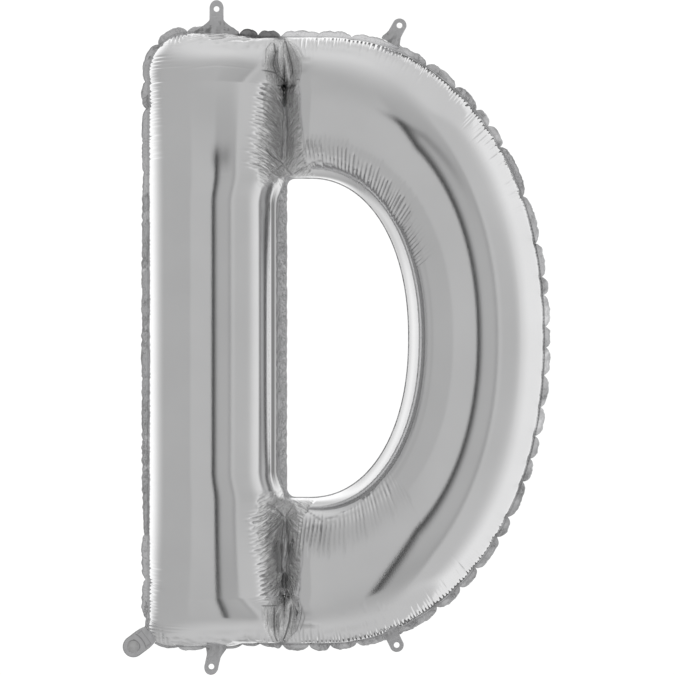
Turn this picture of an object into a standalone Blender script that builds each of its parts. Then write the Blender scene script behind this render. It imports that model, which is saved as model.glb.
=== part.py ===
"""A foil letter balloon, a filled silver D: two shaped sheets, their welds, hanging tabs and filling neck.

Metres, +Z up. The letter faces -Y and its welds lie in the plane y = 0. The origin is the middle of the letter.
"""

import math

import bmesh
import bpy
import numpy as np

# Seam line of the whole letter, seen from the front
STEM_LEFT = -0.2765
TOP = 0.4295
BOTTOM = -0.4195
TOP_CORNER_RADIUS = 0.056
BOTTOM_CORNER_RADIUS = 0.022
JUNCTION_X = -0.0860
BOWL_CENTRE_X = -0.0354
BOWL_HALF_WIDTH = 0.3122
ROUNDNESS = 2.16  # exponent of the bowl's and the counter's curve: 2 is an ellipse, more is squarer
LOWER_ROUNDNESS = 2.12  # the same for the lower half of the bowl's outer seam

# The stem's top weld stands higher over most of its width, and its bottom weld hangs lower
TOP_LIFT = 0.0068
LIFT_START = -0.118  # where the lift begins, going left
LIFT_FULL = -0.175
BOTTOM_SAG = 0.0035
SAG_LEFT = -0.272
SAG_RIGHT = -0.135
SAG_EASE = 0.030
BEND_LENGTH = 0.160  # how far down or up the stem the two are still felt

# Counter, the hole in the letter
COUNTER_LEFT = -0.0826
COUNTER_CENTRE_X = -0.0510
COUNTER_CENTRE_Z = 0.0087
COUNTER_HALF_WIDTH = 0.1378
COUNTER_HALF_HEIGHT = 0.2226

# Inflated form
STEM_DEPTH = 0.088  # half of the stem's thickness
BOWL_DEPTH = 0.084
SHOULDER_LENGTH = 0.045  # over which the stem first swells from its top and bottom welds
SHOULDER_SHARE = 0.42  # share of the stem's depth that this gives
SLOPE_LENGTH = 0.220  # over which the rest of its depth rises
VALLEY_LENGTH = 0.036  # over which the bowl first swells from its junction with the stem
VALLEY_SHARE = 0.62
VALLEY_SLOPE_LENGTH = 0.200
SADDLE_DEPTH = 0.030  # half-depth of the gas passages beside the two junction welds
PASSAGE_HEIGHT = 0.070

# Film, welds and the gaps between them
WALL = 0.0010
SEAM_THICKNESS = 0.0010
SEAM_OUT = 0.0090  # visible width of the outer weld
SEAM_IN = 0.0040  # how far a weld reaches under the sheets
COUNTER_SEAM_STEM = 0.0112  # visible width of the counter's weld along the stem
COUNTER_SEAM_BOWL = 0.0015
CORNER_EASE = 0.040  # over which the stem's right seam moves from the counter to the junction
JUNCTION_SEAM_WIDTH = 0.0080
RIM_Y = 0.0012  # from the seam plane to a sheet's rim
CREASE_Y = 0.0020  # from the seam plane to the bottom of a sheet's crease
GAP = 0.0003

# Each row: the stretch of the outer weld in metres from the neck, its scallops, and their depth
SCALLOPS = (
    # start, end, count, depth
    (0.030, 0.790, 9, 0.0022),
    (0.790, 0.880, 2, 0.0050),
    (0.880, 1.060, 5, 0.0045),
    (1.060, 2.080, 26, 0.0060),
    (2.080, 2.225, 5, 0.0045),
)

# Each row: a tab's name, its root on the weld, its hole, half the width of its flared root, and how far
# its round end is drawn out
TABS = (
    # name, root_x, root_z, hole_x, hole_z, root_half_width, tip
    ("tab_top_left", -0.1812, TOP + TOP_LIFT, -0.1812, 0.4690, 0.0290, 0.0026),
    ("tab_top_right", 0.0630, 0.4242, 0.0749, 0.4460, 0.0200, 0.0004),
    ("tab_bottom_left", -0.1820, BOTTOM - BOTTOM_SAG, -0.1884, -0.4515, 0.0200, 0.0022),
    ("tab_bottom_right", 0.0616, -0.4018, 0.0710, -0.4214, 0.0200, 0.0012),
)
TAB_HALF_WIDTH = 0.0098
TAB_HOLE_RADIUS = 0.0040
TAB_THICKNESS = 0.0010

# Filling neck at the bottom left corner, and the valve film inside it
NECK_ANGLE = math.radians(217.0)  # its direction, in the XZ plane
NECK_START = (-0.26875, -0.40183)  # where its axis starts, inside the corner
NECK_LENGTH = 0.036  # from there to the middle of its round end
NECK_ROOT = 0.0105  # from there to the sheets' first edge, past the corner's weld
NECK_HALF_WIDTH = 0.0150
NECK_FLARE = 0.0035  # how much wider each side is at the first edge
NECK_SHEET = 0.0005
INLET_RADIUS = 0.0085
VALVE_HALF_WIDTH = 0.0110
WELD_START = (0.0180, 0.0275)  # where the weld starts past the neck, along its outer edge and its inner edge
WELD_END = (0.0035, 0.0065)  # how far before the neck it ends, along the same edges
VALVE_REACH = 0.040  # how far the valve film runs on into the balloon

ACROSS = 12  # faces across the front of a tube
STEM_ROWS = 10  # faces along the stem beside the counter
BOWL_STEPS = 30  # faces along the bowl's curve
ARC_STEP = 0.006  # spacing of points on flat outlines


def material(name, colour, metallic, roughness):
    """A Principled material of one colour."""
    made = bpy.data.materials.new(name)
    made.use_nodes = True
    shader = made.node_tree.nodes["Principled BSDF"]
    shader.inputs["Base Color"].default_value = (*colour, 1.0)
    shader.inputs["Metallic"].default_value = metallic
    shader.inputs["Roughness"].default_value = roughness
    made.diffuse_color = (*colour, 1.0)
    return made


def swell(distance, length):
    """From 0 at a weld to 1 at the given length from it, as a quarter of an ellipse."""
    share = np.clip(1 - np.asarray(distance) / length, 0, 1)
    return np.sqrt(1 - share**2)


def two_part_rise(distance, near_length, near_share, far_length):
    """From 0 to 1: a share of it swells over the near length, and the rest is a parabola over the far length."""
    slope = 1 - np.clip(1 - distance / far_length, 0, 1) ** 2
    return near_share * swell(distance, near_length) + (1 - near_share) * slope


def stem_rise(distance):
    return two_part_rise(distance, SHOULDER_LENGTH, SHOULDER_SHARE, SLOPE_LENGTH)


def bowl_rise(distance):
    return two_part_rise(distance, VALLEY_LENGTH, VALLEY_SHARE, VALLEY_SLOPE_LENGTH)


def ease(share):
    """From 0 to 1 with level ends."""
    share = np.clip(share, 0, 1)
    return share * share * (3 - 2 * share)


def superellipse(centre, half_width, half_height, angles, lower=ROUNDNESS):
    """The right-hand side of a squared ellipse, at angles from 90 degrees down to -90."""
    cosine, sine = np.cos(angles), np.sin(angles)
    power = 2 / np.where(sine < 0, lower, ROUNDNESS)
    x = centre[0] + half_width * np.abs(cosine) ** power
    z = centre[1] + half_height * np.sign(sine) * np.abs(sine) ** power
    return np.column_stack([x, z])


def arc(centre, radius, start, end, steps=8):
    angles = np.radians(np.linspace(start, end, steps))
    return np.column_stack([centre[0] + radius * np.cos(angles), centre[1] + radius * np.sin(angles)])


def bend(x, z):
    """How far the stem's outline stands above its straight form, at places on it."""
    lift = TOP_LIFT * ease((LIFT_START - x) / (LIFT_START - LIFT_FULL))
    sag = BOTTOM_SAG * ease((x - SAG_LEFT) / SAG_EASE) * ease((SAG_RIGHT - x) / SAG_EASE)
    near_top = np.clip(1 - (TOP - z) / BEND_LENGTH, 0, 1) ** 2
    near_bottom = np.clip(1 - (z - BOTTOM) / BEND_LENGTH, 0, 1) ** 2
    return lift * near_top - sag * near_bottom


def evenly(points, step):
    """The same polyline with its points a step apart."""
    lengths = np.hypot(*np.diff(points, axis=0).T)
    along = np.concatenate([[0], np.cumsum(lengths)])
    count = max(2, round(along[-1] / step) + 1)
    at = np.linspace(0, along[-1], count)
    return np.column_stack([np.interp(at, along, points[:, k]) for k in (0, 1)])


def outward(points):
    """Unit normals on the left of the way, which is outside on the outer seam line."""
    along = np.gradient(points, axis=0)
    normals = np.column_stack([-along[:, 1], along[:, 0]])
    return normals / np.linalg.norm(normals, axis=1, keepdims=True)


BOWL_CENTRE = (BOWL_CENTRE_X, (TOP + BOTTOM) / 2)
BOWL_HALF_HEIGHT = (TOP - BOTTOM) / 2
COUNTER_CENTRE = (COUNTER_CENTRE_X, COUNTER_CENTRE_Z)
INNER_TOP = COUNTER_CENTRE_Z + COUNTER_HALF_HEIGHT + COUNTER_SEAM_BOWL
INNER_BOTTOM = COUNTER_CENTRE_Z - COUNTER_HALF_HEIGHT - COUNTER_SEAM_BOWL
STEM_RIGHT = COUNTER_LEFT - COUNTER_SEAM_STEM


def outer_seam_line():
    """The outer seam line, from the neck's corner up the stem's side, over the bowl and back."""
    low, high = BOTTOM_CORNER_RADIUS, TOP_CORNER_RADIUS
    corner = (STEM_LEFT + low, BOTTOM + low)
    angles = np.radians(np.linspace(90, -90, 120))
    line = np.concatenate([
        arc(corner, low, 225, 180),
        arc((STEM_LEFT + high, TOP - high), high, 180, 90, 16),
        superellipse(BOWL_CENTRE, BOWL_HALF_WIDTH, BOWL_HALF_HEIGHT, angles, LOWER_ROUNDNESS),
        arc(corner, low, 270, 225),
    ])
    line = evenly(line, ARC_STEP)
    line[:, 1] += bend(line[:, 0], line[:, 1])
    return line


def lens(z, start, end):
    """A half wave between two heights, 0 outside them."""
    share = (z - start) / (end - start)
    return np.where((share > 0) & (share < 1), np.sin(np.pi * np.clip(share, 0, 1)), 0)


def junction_depth(z):
    """How far the sheet stands off its rim along the junction: a crease, with a gas passage past each weld."""
    passage = lens(z, TOP - PASSAGE_HEIGHT, TOP) + lens(z, BOTTOM, BOTTOM + PASSAGE_HEIGHT)
    inside = (z < TOP - 1e-6) & (z > BOTTOM + 1e-6) & ((z > INNER_TOP + 1e-6) | (z < INNER_BOTTOM - 1e-6))
    return np.where(inside, CREASE_Y - RIM_Y, 0) + SADDLE_DEPTH * passage


def stem_grid():
    """Rows from the top weld to the bottom one, each from the left seam to the junction or the counter."""
    spread = (1 - np.cos(np.pi * np.linspace(0, 1, ACROSS + 1))) / 2
    upper = TOP + (INNER_TOP - TOP) * spread
    lower = INNER_BOTTOM + (BOTTOM - INNER_BOTTOM) * spread
    steps = np.array([0.012, 0.024, CORNER_EASE])
    between = np.linspace(INNER_TOP - CORNER_EASE, INNER_BOTTOM + CORNER_EASE, STEM_ROWS + 1)[1:-1]
    beside = np.concatenate([INNER_TOP - steps, between, INNER_BOTTOM + steps[::-1]])
    z = np.concatenate([upper, beside, lower])[:, None]
    s = np.linspace(0, 1, ACROSS + 1)[None, :]
    left = np.full_like(z, STEM_LEFT)
    for radius, rise in ((TOP_CORNER_RADIUS, z - TOP), (BOTTOM_CORNER_RADIUS, BOTTOM - z)):
        past = np.clip(rise + radius, 0, radius)
        left += radius - np.sqrt(radius**2 - past**2)
    beside_counter = ease((INNER_TOP - z) / CORNER_EASE) * ease((z - INNER_BOTTOM) / CORNER_EASE)
    right = JUNCTION_X + (STEM_RIGHT - JUNCTION_X) * beside_counter
    depth = STEM_DEPTH * stem_rise(TOP - z) * stem_rise(z - BOTTOM)
    x = left + (right - left) * (1 - np.cos(np.pi * s)) / 2
    y = RIM_Y + depth * np.sin(np.pi * s) + junction_depth(z) * s**4
    return np.stack([x, -y, z + bend(x, z)], axis=-1)


def bowl_grid():
    """Sections from the upper junction round to the lower one, each from the outer seam to the counter's."""
    angles = np.radians(np.linspace(90, -90, BOWL_STEPS + 1))
    outer = superellipse(BOWL_CENTRE, BOWL_HALF_WIDTH, BOWL_HALF_HEIGHT, angles, LOWER_ROUNDNESS)
    inner = superellipse(
        COUNTER_CENTRE,
        COUNTER_HALF_WIDTH + COUNTER_SEAM_BOWL,
        COUNTER_HALF_HEIGHT + COUNTER_SEAM_BOWL,
        angles,
    )
    upper = [[JUNCTION_X, TOP], [JUNCTION_X, INNER_TOP]]
    lower = [[JUNCTION_X, BOTTOM], [JUNCTION_X, INNER_BOTTOM]]
    ends = []
    for pair, near in ((upper, 0), (lower, -1)):
        shares = np.array([0, 0.06, 0.18, 0.36, 0.62])[:, None]
        away = [np.array(pair[k]) + ((outer, inner)[k][near] - pair[k]) * shares for k in (0, 1)]
        ends.append(away)
    outer = np.concatenate([ends[0][0], outer, ends[1][0][::-1]])
    inner = np.concatenate([ends[0][1], inner, ends[1][1][::-1]])
    middle = (outer + inner) / 2
    along = np.concatenate([[0], np.cumsum(np.hypot(*np.diff(middle, axis=0).T))])
    rise = bowl_rise(along) * bowl_rise(along[-1] - along)
    s = np.linspace(0, 1, ACROSS + 1)[None, :]
    spread = (1 - np.cos(np.pi * s)) / 2
    x = outer[:, :1] + (inner[:, :1] - outer[:, :1]) * spread
    z = outer[:, 1:] + (inner[:, 1:] - outer[:, 1:]) * spread
    nearness = 1 - rise[:, None]
    y = RIM_Y + BOWL_DEPTH * rise[:, None] * np.sin(np.pi * s) + junction_depth(z) * nearness**2
    return np.stack([x, -y, z], axis=-1)


def add_grid(mesh, points):
    """Joins a grid of points to the mesh as quads that face -Y."""
    rows, columns = points.shape[:2]
    made = [[mesh.verts.new(points[i, j]) for j in range(columns)] for i in range(rows)]
    for i in range(rows - 1):
        for j in range(columns - 1):
            corners = (made[i][j], made[i + 1][j], made[i + 1][j + 1], made[i][j + 1])
            mesh.faces.new(corners)


def sheet(name, finish, home, side):
    """One shaped foil sheet: stem and bowl in one piece, from its seam line to the counter's."""
    mesh = bmesh.new()
    for grid in (stem_grid(), bowl_grid()):
        grid[..., 1] *= side
        add_grid(mesh, grid)
    bmesh.ops.remove_doubles(mesh, verts=mesh.verts, dist=0.00005)
    bmesh.ops.recalc_face_normals(mesh, faces=mesh.faces)
    middle = max(mesh.faces, key=lambda face: abs(face.calc_center_median().y))
    if middle.normal.y * side > 0:
        bmesh.ops.reverse_faces(mesh, faces=mesh.faces)
    data = bpy.data.meshes.new(name)
    mesh.to_mesh(data)
    mesh.free()
    data.shade_smooth()
    made = bpy.data.objects.new(name, data)
    wall = made.modifiers.new("Film", "SOLIDIFY")
    wall.thickness = WALL
    wall.offset = -1
    data.materials.append(finish)
    home.objects.link(made)
    return made


def plate(name, loops, finish, home, thickness, y=0.0):
    """A flat piece in the seam plane, from its outline and the outlines of its holes."""
    curve = bpy.data.curves.new(name, "CURVE")
    curve.dimensions = "2D"
    curve.fill_mode = "BOTH"
    curve.extrude = thickness / 2
    for loop in loops:
        spline = curve.splines.new("POLY")
        spline.points.add(len(loop) - 1)
        spline.points.foreach_set("co", np.column_stack([loop, np.zeros((len(loop), 2))]).ravel())
        spline.use_cyclic_u = True
    made = bpy.data.objects.new(name, curve)
    made.rotation_euler = (math.pi / 2, 0, 0)
    made.location = (0, y, 0)
    curve.materials.append(finish)
    home.objects.link(made)
    return made


def stretch_of(points, along, start, end):
    """The part of a line between two distances along it."""
    at = np.concatenate([[start], along[(along > start) & (along < end)], [end]])
    return np.column_stack([np.interp(at, along, points[:, k]) for k in (0, 1)])


def outer_seam(finish, home):
    """The weld round the letter, open at the neck, with its edge drawn in where the film puckers."""
    line = outer_seam_line()
    normals = outward(line)
    along = np.concatenate([[0], np.cumsum(np.hypot(*np.diff(line, axis=0).T))])
    depth = np.zeros_like(along)
    for start, end, count, amount in SCALLOPS:
        share = (along - start) / (end - start)
        wave = np.abs(np.sin(np.pi * count * share)) ** 0.6
        depth = np.where((share >= 0) & (share < 1), amount * (1 - wave), depth)
    for _, root_x, root_z, _, _, half_width, _ in TABS:
        at_root = np.hypot(line[:, 0] - root_x, line[:, 1] - root_z) < half_width + ARC_STEP
        depth[at_root] = 0
    outside = line + normals * (SEAM_OUT - depth)[:, None]
    inside = line - normals * SEAM_IN
    edges = [
        stretch_of(edge, along, WELD_START[k], along[-1] - WELD_END[k])
        for k, edge in enumerate((outside, inside))
    ]
    return plate("outer_seam", [np.concatenate([edges[0], edges[1][::-1]])], finish, home, SEAM_THICKNESS)


def counter_loop(left, grow, corner_radius):
    """The counter's outline: straight along the stem, and a squared ellipse along the bowl."""
    half_height = COUNTER_HALF_HEIGHT + grow
    top, bottom = COUNTER_CENTRE_Z + half_height, COUNTER_CENTRE_Z - half_height
    curve = superellipse(
        COUNTER_CENTRE, COUNTER_HALF_WIDTH + grow, half_height, np.radians(np.linspace(90, -90, 60))
    )
    lower = arc((left + corner_radius, bottom + corner_radius), corner_radius, 270, 180, 5)
    upper = arc((left + corner_radius, top - corner_radius), corner_radius, 180, 90, 5)
    return np.concatenate([curve, lower, upper])


def counter_seam(finish, home):
    hole = counter_loop(COUNTER_LEFT, 0, 0.012)
    edge = counter_loop(STEM_RIGHT - SEAM_IN, COUNTER_SEAM_BOWL + SEAM_IN, 0.004)
    return plate("counter_seam", [edge, hole], finish, home, SEAM_THICKNESS)


def junction_seam(name, near, far, finish, home):
    """A short weld on the junction, from the counter's weld to a round end at the gas passage."""
    half = JUNCTION_SEAM_WIDTH / 2
    up = 1 if far > near else -1
    end = arc((JUNCTION_X, far - up * half), half, 0, 180 * up, 9)
    foot = np.array([[JUNCTION_X - half, near], [JUNCTION_X + half, near]])
    return plate(name, [np.concatenate([end, foot])], finish, home, SEAM_THICKNESS)


def tab_loops(root_x, root_z, hole_x, hole_z, half_width, tip, seam):
    """A tab's outline and hole: a foot that lies along the weld's edge, drawn in to a strip with a round end."""
    nearest = np.argmin(np.hypot(seam[:, 0] - root_x, seam[:, 1] - root_z))
    normal = outward(seam)[nearest]
    root, hole = seam[nearest], np.array([hole_x, hole_z])
    axis = (hole - root) / np.linalg.norm(hole - root)
    side = np.array([axis[1], -axis[0]])
    near = np.hypot(*(seam - root).T) < half_width
    foot = (seam + outward(seam) * (SEAM_OUT + GAP))[near]
    if (foot[0] - foot[-1]) @ side < 0:
        foot = foot[::-1]
    waist = root + normal * (SEAM_OUT + 0.011)
    turn = math.atan2(axis[1], axis[0])
    angles = turn + np.linspace(-math.pi / 2, math.pi / 2, 13)
    end = hole + TAB_HALF_WIDTH * np.column_stack([np.cos(angles), np.sin(angles)])
    end = end + axis * tip * np.cos(angles - turn)[:, None]
    right, left = waist + side * TAB_HALF_WIDTH, waist - side * TAB_HALF_WIDTH
    flare = 0.35
    right_flare = foot[0] + (right - foot[0]) * 0.6 - axis * flare * 0.005
    left_flare = foot[-1] + (left - foot[-1]) * 0.6 - axis * flare * 0.005
    outline = np.concatenate([[right_flare, right], end, [left, left_flare], foot[::-1]])
    ring = np.linspace(0, 2 * math.pi, 17)[:-1]
    bore = hole + TAB_HOLE_RADIUS * np.column_stack([np.cos(ring), np.sin(ring)])
    return [outline, bore]


def neck_frame():
    """The start of the neck's axis, its direction and its side direction, in the XZ plane."""
    axis = np.array([math.cos(NECK_ANGLE), math.sin(NECK_ANGLE)])
    return np.array(NECK_START), axis, np.array([-axis[1], axis[0]])


def strip(start, end, half_width, flare=0.0):
    """A strip's outline on the neck's axis: straight at its start, where it may flare, and round at its end."""
    origin, axis, side = neck_frame()
    angles = NECK_ANGLE + np.linspace(-math.pi / 2, math.pi / 2, 17)
    tip = origin + axis * end + half_width * np.column_stack([np.cos(angles), np.sin(angles)])
    ways = ((0.008, 0.0), (0.004, 0.25), (0.0, 1.0))
    up_side = [origin + axis * (start + way) + side * (half_width + flare * share) for way, share in ways]
    down_side = [origin + axis * (start + way) - side * (half_width + flare * share) for way, share in ways]
    return np.concatenate([tip, up_side, down_side[::-1]])


def neck(finish, film, home):
    """The neck's two sheets, the front one with the inlet, and the valve film between them."""
    origin, axis, _ = neck_frame()
    ring = np.linspace(0, 2 * math.pi, 25)[:-1]
    inlet = origin + axis * NECK_LENGTH + INLET_RADIUS * np.column_stack([np.cos(ring), np.sin(ring)])
    outline = strip(NECK_ROOT, NECK_LENGTH, NECK_HALF_WIDTH, NECK_FLARE)
    middle = SEAM_THICKNESS / 2 + GAP + NECK_SHEET / 2
    plate("neck_front_sheet", [outline, inlet], finish, home, NECK_SHEET, -middle)
    plate("neck_back_sheet", [outline], finish, home, NECK_SHEET, middle)
    valve = strip(-VALVE_REACH, NECK_LENGTH, VALVE_HALF_WIDTH)
    plate("valve_film", [valve], film, home, SEAM_THICKNESS)


def build():
    for old in list(bpy.data.objects):
        bpy.data.objects.remove(old)
    home = bpy.data.collections.new("letter_foil_balloon")
    bpy.context.scene.collection.children.link(home)
    foil = material("silver_foil", (0.80, 0.80, 0.81), 1.0, 0.12)
    weld = material("welded_foil", (0.62, 0.62, 0.63), 1.0, 0.35)
    film = material("valve_film", (0.70, 0.70, 0.70), 0.0, 0.30)
    sheet("front_panel", foil, home, 1)
    sheet("back_panel", foil, home, -1)
    outer_seam(weld, home)
    counter_seam(weld, home)
    reach = SEAM_IN + GAP
    junction_seam("upper_junction_weld", INNER_TOP + reach, TOP - PASSAGE_HEIGHT, weld, home)
    junction_seam("lower_junction_weld", INNER_BOTTOM - reach, BOTTOM + PASSAGE_HEIGHT, weld, home)
    seam = outer_seam_line()
    for name, *places in TABS:
        plate(name, tab_loops(*places, seam), weld, home, TAB_THICKNESS)
    neck(weld, film, home)


build()
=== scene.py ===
"""The looks of a filled foil letter: a silver D with puckered film, welded edges, tabs and a neck.

Metres, +Z up. The letter faces -Y and its welds lie in the plane y = 0. Shapes are grids of points
worked out with numpy, and finishes are node materials. A piece that stands for a solid of the
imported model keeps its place.
"""

import logging
import math
from dataclasses import dataclass
from enum import Enum
from typing import ClassVar

import bpy
import numpy as np
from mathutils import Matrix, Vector

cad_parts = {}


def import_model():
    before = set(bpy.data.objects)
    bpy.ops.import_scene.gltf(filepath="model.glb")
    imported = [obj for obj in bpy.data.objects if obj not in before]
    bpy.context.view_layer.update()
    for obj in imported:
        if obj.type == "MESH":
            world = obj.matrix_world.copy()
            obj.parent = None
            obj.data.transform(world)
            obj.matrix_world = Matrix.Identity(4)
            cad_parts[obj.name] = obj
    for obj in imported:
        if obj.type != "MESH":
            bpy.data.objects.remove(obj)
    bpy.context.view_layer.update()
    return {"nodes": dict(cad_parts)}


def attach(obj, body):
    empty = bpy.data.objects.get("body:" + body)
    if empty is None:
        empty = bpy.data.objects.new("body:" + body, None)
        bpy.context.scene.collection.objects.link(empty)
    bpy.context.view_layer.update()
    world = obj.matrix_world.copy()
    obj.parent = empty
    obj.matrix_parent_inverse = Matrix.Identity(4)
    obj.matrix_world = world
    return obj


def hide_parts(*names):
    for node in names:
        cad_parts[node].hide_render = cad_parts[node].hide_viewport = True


log = logging.getLogger("foil_letter")

Points = np.ndarray
Values = np.ndarray


class Side(Enum):
    """The two sheets of the letter, with the sign of y on each."""

    FRONT = -1
    BACK = 1


class Colour(Enum):
    """Base colours, linear."""

    FOIL = (0.90, 0.90, 0.905)
    WELD = (0.80, 0.80, 0.81)
    FILM = (0.74, 0.74, 0.74)
    FLOOR = (0.88, 0.88, 0.88)


# ---------------------------------------------------------------- numbers that repeat

CHANCE_STEP = 12.9898
CHANCE_SEED = 78.233
CHANCE_SCALE = 43758.5453
LATTICE_ROW = 157  # numbers of the list from one crossing of a lattice to the one in its next row
TENTHS = 10000  # tenths of a millimetre in a metre: some tables are whole numbers of them
TURN = 2 * math.pi
RING_POINTS = 97  # points round a closed ring, with its first one again at its end


def chance(index: Values, seed: int) -> Values:
    """A number from 0 to 1 for each whole number, the same at each run: the fraction of a large sine.

    Args:
        index: whole numbers.
        seed: picks one of many such lists.

    Returns:
        Numbers of the same shape.
    """
    return np.modf(np.abs(np.sin(index * CHANCE_STEP + seed * CHANCE_SEED) * CHANCE_SCALE))[0]


def eased(share: Values) -> Values:
    """From 0 to 1 with level ends, held outside that range."""
    share = np.clip(share, 0, 1)
    return share * share * (3 - 2 * share)


def wander(x: Values, length: float, seed: int) -> Values:
    """A smooth random curve between -1 and 1: one number a length apart, eased between neighbours.

    Args:
        x: where, in metres.
        length: the spacing of its turns.
        seed: picks the curve.

    Returns:
        The curve's value at each x.
    """
    cell = np.floor(x / length)
    share = eased(x / length - cell)
    return 2 * ((1 - share) * chance(cell, seed) + share * chance(cell + 1, seed)) - 1


def rumple(x: Values, z: Values, length_x: float, length_z: float, seed: int) -> Values:
    """A smooth random surface from -1 to 1: a number at each crossing of a lattice, eased between.

    Args:
        x: first coordinate.
        z: second coordinate.
        length_x: the lattice's spacing along x.
        length_z: the lattice's spacing along z.
        seed: picks the surface.

    Returns:
        The surface's height at each point.
    """
    column, row = np.floor(x / length_x), np.floor(z / length_z)
    across, down = eased(x / length_x - column), eased(z / length_z - row)
    key = column + LATTICE_ROW * row
    below = key + LATTICE_ROW
    near = (1 - across) * chance(key, seed) + across * chance(key + 1, seed)
    far = (1 - across) * chance(below, seed) + across * chance(below + 1, seed)
    return 2 * ((1 - down) * near + down * far) - 1


# ---------------------------------------------------------------- folds


@dataclass(frozen=True)
class Folds:
    """A run of small folds that cross a weld, round between sharp valleys.

    Attributes:
        start: where the run starts along the weld.
        end: where it ends.
        pitch: distance between valleys.
        depth: depth of a valley.
        hold: distance from the weld, on the film, up to which a valley stays deep.
        fade: distance past that over which it runs out.
        begin: distance from the weld at which the folds start.
        lean: shift along the weld for each metre from it.
    """

    start: float
    end: float
    pitch: float
    depth: float
    hold: float
    fade: float
    begin: float = 0.0
    lean: float = 0.0

    def height(self, along: Values, inward: Values, seed: int) -> Values:
        """Height over the smooth film: minus the depth in a valley, up to 0 halfway between valleys.

        Each valley has its own depth and reach, its place wanders by up to 0.45 of a pitch, and the
        run fades over two pitches at its ends.

        Args:
            along: distance along the weld.
            inward: distance from the weld on the film.
            seed: picks the depths, reaches and spacing.

        Returns:
            Heights, 0 or less.
        """
        place = along + self.lean * inward
        place = place + 0.45 * self.pitch * wander(place, 3.1 * self.pitch, seed)
        phase = place / self.pitch
        valley = np.round(phase)
        away = np.abs(phase - valley) * 2
        fade = self.fade * (0.35 + 1.3 * chance(valley, seed + 1))
        depth = self.depth * (0.35 + 1.1 * chance(valley, seed + 2))
        ends = eased((along - self.start) / (2 * self.pitch))
        ends = ends * eased((self.end - along) / (2 * self.pitch))
        onset = eased((inward - self.begin) / (0.003 + 0.5 * (self.hold - self.begin)))
        window = onset * np.exp(-((np.maximum(inward - self.hold, 0) / fade) ** 2))
        return -depth * (1 - away) ** 1.4 * window * ends


@dataclass(frozen=True)
class Pinch:
    """A place where the outer weld is drawn in between two scallops, with a sharp groove in the film.

    Attributes:
        angle: its direction from the letter's middle, in degrees, anticlockwise from the right.
        pull: how far the weld is drawn in.
        reach: length of the groove on the film.
        depth: depth of the groove.
        notch: how much of the weld band's width it takes, from 0 to 1.
    """

    angle: float
    pull: float
    reach: float
    depth: float
    notch: float


PINCHES = (
    # angle, pull, reach, depth, notch
    Pinch(234.2, 0.0008, 0.014, 0.0014, 0.50),
    Pinch(230, 0.0012, 0.022, 0.0018, 0.55),
    Pinch(224, 0.0008, 0.012, 0.0010, 0.35),
    Pinch(139, 0.0006, 0.010, 0.0008, 0.25),
    Pinch(130, 0.0016, 0.018, 0.0022, 0.60),
    Pinch(127, 0.0012, 0.014, 0.0016, 0.50),
    Pinch(122, 0.0014, 0.014, 0.0018, 0.70),
    Pinch(117, 0.0020, 0.016, 0.0026, 0.75),
    Pinch(109, 0.0020, 0.022, 0.0028, 0.80),
    Pinch(106, 0.0016, 0.012, 0.0020, 0.80),
    Pinch(102, 0.0020, 0.010, 0.0016, 0.85),
    Pinch(95, 0.0006, 0.008, 0.0008, 0.40),
    Pinch(89, 0.0014, 0.014, 0.0018, 0.70),
    Pinch(81, 0.0010, 0.014, 0.0018, 0.00),
    Pinch(74, 0.0018, 0.016, 0.0022, 0.80),
    Pinch(67, 0.0018, 0.018, 0.0024, 0.80),
    Pinch(61, 0.0018, 0.018, 0.0024, 0.80),
    Pinch(57, 0.0018, 0.018, 0.0024, 0.80),
    Pinch(52, 0.0016, 0.018, 0.0022, 0.80),
    Pinch(40, 0.0016, 0.018, 0.0022, 0.80),
    Pinch(28, 0.0016, 0.016, 0.0020, 0.80),
    Pinch(19, 0.0014, 0.014, 0.0018, 0.75),
    Pinch(14, 0.0012, 0.012, 0.0016, 0.70),
    Pinch(5, 0.0012, 0.010, 0.0014, 0.70),
    Pinch(-1, 0.0012, 0.010, 0.0014, 0.70),
    Pinch(-9, 0.0012, 0.012, 0.0016, 0.75),
    Pinch(-18, 0.0014, 0.014, 0.0018, 0.80),
    Pinch(-26, 0.0016, 0.016, 0.0020, 0.80),
    Pinch(-32, 0.0016, 0.016, 0.0020, 0.80),
    Pinch(-38, 0.0016, 0.018, 0.0022, 0.80),
    Pinch(-47, 0.0018, 0.020, 0.0024, 0.85),
    Pinch(-52, 0.0018, 0.018, 0.0022, 0.80),
    Pinch(-60, 0.0018, 0.020, 0.0024, 0.80),
    Pinch(-65, 0.0016, 0.018, 0.0022, 0.80),
    Pinch(-71, 0.0016, 0.018, 0.0022, 0.80),
    Pinch(-80, 0.0010, 0.014, 0.0018, 0.00),
    Pinch(-88, 0.0014, 0.012, 0.0016, 0.75),
    Pinch(-93, 0.0014, 0.010, 0.0014, 0.70),
    Pinch(-97, 0.0014, 0.010, 0.0014, 0.80),
    Pinch(-102, 0.0018, 0.012, 0.0018, 0.85),
    Pinch(-106, 0.0014, 0.014, 0.0018, 0.70),
    Pinch(-109, 0.0014, 0.014, 0.0018, 0.70),
    Pinch(-115, 0.0010, 0.012, 0.0014, 0.50),
    Pinch(-119, 0.0014, 0.014, 0.0018, 0.60),
)


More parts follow.
